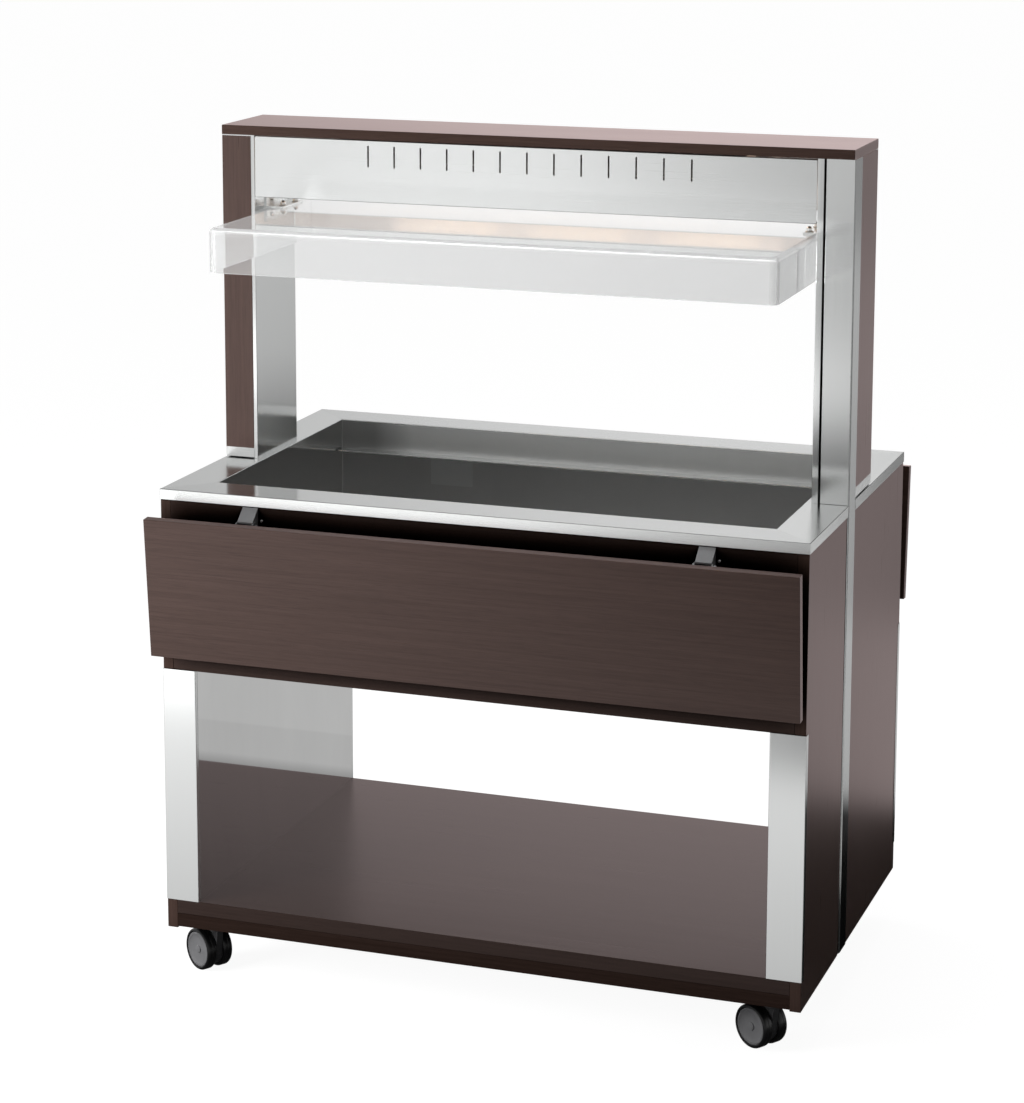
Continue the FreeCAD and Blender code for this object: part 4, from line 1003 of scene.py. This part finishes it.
class TROLLEY_OT_stage(bpy.types.Operator):
    """Set the camera, the soft lights and the white floor"""

    bl_idname = "trolley.stage"
    bl_label = "Stage"

    def execute(self, context):
        self.make_camera(context.scene)
        self.make_world(context.scene)
        self.make_floor(context.scene)
        self.make_lamps(context.scene)
        context.scene.view_settings.view_transform = "Standard"
        return {"FINISHED"}

    def make_camera(self, scene):
        stage = scene.trolley_stage
        width, height = stage.picture
        data = bpy.data.cameras.new("camera")
        data.lens = data.sensor_width * stage.focal_pixels / max(width, height)
        data.shift_x = (width / 2 - stage.picture_axis[0]) / max(width, height)
        data.shift_y = (stage.picture_axis[1] - height / 2) / max(width, height)
        camera = bpy.data.objects.new("camera", data)
        camera.location = stage.camera_place
        camera.rotation_euler = (math.pi / 2 - stage.elevation, 0, stage.azimuth)
        scene.collection.objects.link(camera)
        scene.camera = camera

    def make_world(self, scene):
        """Even light all round. Reflections meet a haze above the horizon and a light in front."""
        world = bpy.data.worlds.new("studio")
        world.use_nodes = True
        wires = Wiring(world.node_tree)
        spread, times = wires.spread, wires.times
        way = wires.node("ShaderNodeTexCoord").outputs["Generated"]
        parts = wires.parts(way)
        height = parts["Z"]
        toward, ahead, behind = (wires.vector(way, aim, "DOT_PRODUCT") for aim in (
            (-0.42, -0.905, 0.0), (0.45, -0.89, 0.0), (0.5, 0.866, 0.0)))
        haze = times(spread(height, 0.15, 0.24, 0.56, 0.82), spread(height, 0.27, 0.33, 1.0, 0.68))
        soft = times(haze, spread(ahead, 0.1, 0.95, 1.0, 0.45))
        soft = times(soft, spread(behind, 0.53, 0.65, 0.7, 1.0))
        soft = times(soft, spread(behind, 0.72, 0.88, 1.0, 0.6))
        horizon = times(spread(height, 0.12, 0.155, 1.0, 0.0), spread(behind, 0.58, 0.75, 0.55, 1.3))
        lobe = times(self.front_light(wires, parts["X"], parts["Y"]), spread(toward, 0.78, 0.97))
        mirrored = wires.most(wires.plus(soft, horizon), lobe)
        path = wires.node("ShaderNodeLightPath").outputs
        plain = wires.most(path["Is Camera Ray"], path["Is Transmission Ray"])
        level = wires.either(path["Is Glossy Ray"], scene.trolley_stage.world_light, mirrored)
        background = world.node_tree.nodes["Background"]
        wires.put(background, "Color", WHITE)
        wires.put(background, "Strength", wires.either(plain, level, 1.0))
        scene.world = world

    def make_floor(self, scene):
        """A wide white floor that keeps a faint shadow. In reflections it darkens towards the trolley:
        painted shade that stands in for the trolley's shadow.
        """
        mesh = bmesh.new()
        bmesh.ops.create_grid(mesh, x_segments=1, y_segments=1, size=30)
        data = bpy.data.meshes.new("floor")
        mesh.to_mesh(data)
        mesh.free()
        surface = Recipe("white_floor", Roughness=0.9, Specular_IOR_Level=0.0)
        path = surface.node("ShaderNodeLightPath").outputs
        plain = surface.most(path["Is Camera Ray"], path["Is Transmission Ray"])
        surface.give("Base Color", surface.blend(plain, (0.20, 0.20, 0.20), (0.93, 0.93, 0.93)))
        white, mirrored = (
            surface.node("ShaderNodeEmission", {"Color": WHITE, "Strength": strength}).outputs[0]
            for strength in (1.17, self.sheen(surface)))
        shader = surface.mixed(surface.times(plain, 0.8), surface.shader.outputs[0], white)
        surface.show(surface.mixed(path["Is Glossy Ray"], shader, mirrored))
        data.materials.append(surface.material)
        floor = bpy.data.objects.new("floor", data)
        scene.collection.objects.link(floor)

    def sheen(self, surface):
        """How bright the floor looks in reflections: bright in front on the left and far behind."""
        spread, times, less, most = surface.spread, surface.times, surface.less, surface.most
        place = surface.parts(surface.place)
        x, y = place["X"], place["Y"]
        front, rear = self.front_sheen(surface, x, y), self.rear_sheen(surface, x, y)
        shade = surface.either(spread(y, -0.3, 0.1), front, rear)
        # The gap to the trolley's body, which counts more in front than beside it or behind.
        aside = most(less(surface.maths("ABSOLUTE", x), 0.57), 0)
        along_body = most(most(less(y, 0.36), times(surface.plus(y, 0.36), -1.8)), 0)
        gap = less(surface.plus(aside, along_body), spread(x, 0.5, 0.6, 0.28, 0.52))
        # Painted shade: near the body the floor's reflected brightness drops, standing in for the trolley's
        # shadow.
        return times(shade, spread(gap, 0.0, 0.2, 0.06, 1.0))

    def front_sheen(self, surface, x, y):
        spread, times, most = surface.spread, surface.times, surface.most
        leftness = spread(x, -1.6, 0.4, 2.1, 0.08)
        wide = surface.either(spread(y, -6.5, -5.0), self.front_light(surface, x, y), leftness)
        # A dimmer band crosses in front, darkest where it passes the middle and the right.
        band = most(spread(y, -3.2, -2.4, 0.4, 1.0), spread(y, -5.0, -4.6, 1.0, 0.3))
        darkest = times(spread(x, -1.2, -0.9), spread(y, -3.8, -3.6, 1.0, 0.0))
        darkest = times(darkest, spread(y, -5.0, -4.6))
        wide = times(wide, times(band, spread(darkest, 0.0, 1.0, 1.0, 0.15)))
        close = times(spread(y, -1.8, -0.5, 1.0, 0.68), spread(x, -1.2, 0.4, 1.08, 0.86))
        return surface.either(spread(y, -2.0, -1.75), wide, close)

    def rear_sheen(self, surface, x, y):
        spread, times, least = surface.spread, surface.times, surface.least
        rear = surface.most(spread(y, 0.90, 1.05, 0.03, 0.60), spread(x, 0.35, 0.6, 0.56, 0.03))
        # A dark lane leads straight away behind, and it is half as bright far off on the right.
        beside = surface.less(x, times(y, 0.242))
        across = least(spread(beside, -0.1, 0.1), spread(beside, 0.42, 0.56, 1.0, 0.0))
        away = least(spread(y, 2.2, 2.6), spread(y, 4.4, 5.4, 1.0, 0.5))
        away = least(away, spread(y, 8.0, 10.0, 1.0, 0.0))
        lane = times(across, away)
        far = times(spread(y, 7.5, 9.5), spread(x, 0.5, 1.5))
        return times(times(rear, spread(lane, 0.0, 1.0, 1.0, 0.10)), spread(far, 0.0, 1.0, 1.0, 0.5))

    def front_light(self, wires, x, y):
        """The wide light in front, brightest to the left of the camera, by the slant of the way there."""
        slant = wires.maths("DIVIDE", x, y)
        return wires.least(wires.spread(slant, 0.16, 0.33, 0.38, 1.10),
                           wires.spread(slant, 0.41, 0.52, 1.10, 0.62))

    def make_lamps(self, scene):
        """A soft panel close by on the left and a wider one overhead."""
        panels = {
            "key": ((-1.8, -1.7, 1.0), (0, 0, 0.7), 1.0, 54),
            "top": ((-0.3, 0.1, 3.4), (0, 0, 0.9), 2.0, 50),
        }
        for name, (place, aim, size, power) in panels.items():
            data = bpy.data.lights.new(name, "AREA")
            data.size = size
            data.energy = power
            lamp = bpy.data.objects.new(name, data)
            lamp.location = place
            lamp.rotation_euler = (Vector(aim) - Vector(place)).to_track_quat("-Z", "Y").to_euler()
            lamp.visible_glossy = False
            scene.collection.objects.link(lamp)


OPERATORS = (TROLLEY_OT_boards, TROLLEY_OT_counter, TROLLEY_OT_well, TROLLEY_OT_linings, TROLLEY_OT_posts,
             TROLLEY_OT_fascias, TROLLEY_OT_lamps, TROLLEY_OT_guard, TROLLEY_OT_shelf_brackets,
             TROLLEY_OT_casters, TROLLEY_OT_switch, TROLLEY_OT_stage)


class TROLLEY_PT_panel(bpy.types.Panel):
    """Lists the trolley's pieces and settings"""

    bl_idname = "TROLLEY_PT_panel"
    bl_label = "Buffet trolley"
    bl_space_type = "VIEW_3D"
    bl_region_type = "UI"
    bl_category = "Trolley"

    def draw(self, context):
        for group, kind in GROUPS.items():
            for name in kind.__annotations__:
                self.layout.prop(getattr(context.scene, group), name)
        for operator in OPERATORS:
            self.layout.operator(operator.bl_idname)


def register():
    for kind in (*GROUPS.values(), *OPERATORS, TROLLEY_PT_panel):
        bpy.utils.register_class(kind)
    for name, kind in GROUPS.items():
        setattr(bpy.types.Scene, name, bpy.props.PointerProperty(type=kind))


def unregister():
    for name in GROUPS:
        delattr(bpy.types.Scene, name)
    for kind in (TROLLEY_PT_panel, *reversed(OPERATORS), *GROUPS.values()):
        bpy.utils.unregister_class(kind)


def main():
    register()
    for operator in OPERATORS:
        group, name = operator.bl_idname.split(".")
        getattr(getattr(bpy.ops, group), name)()


if __name__ == "__main__":
    main()
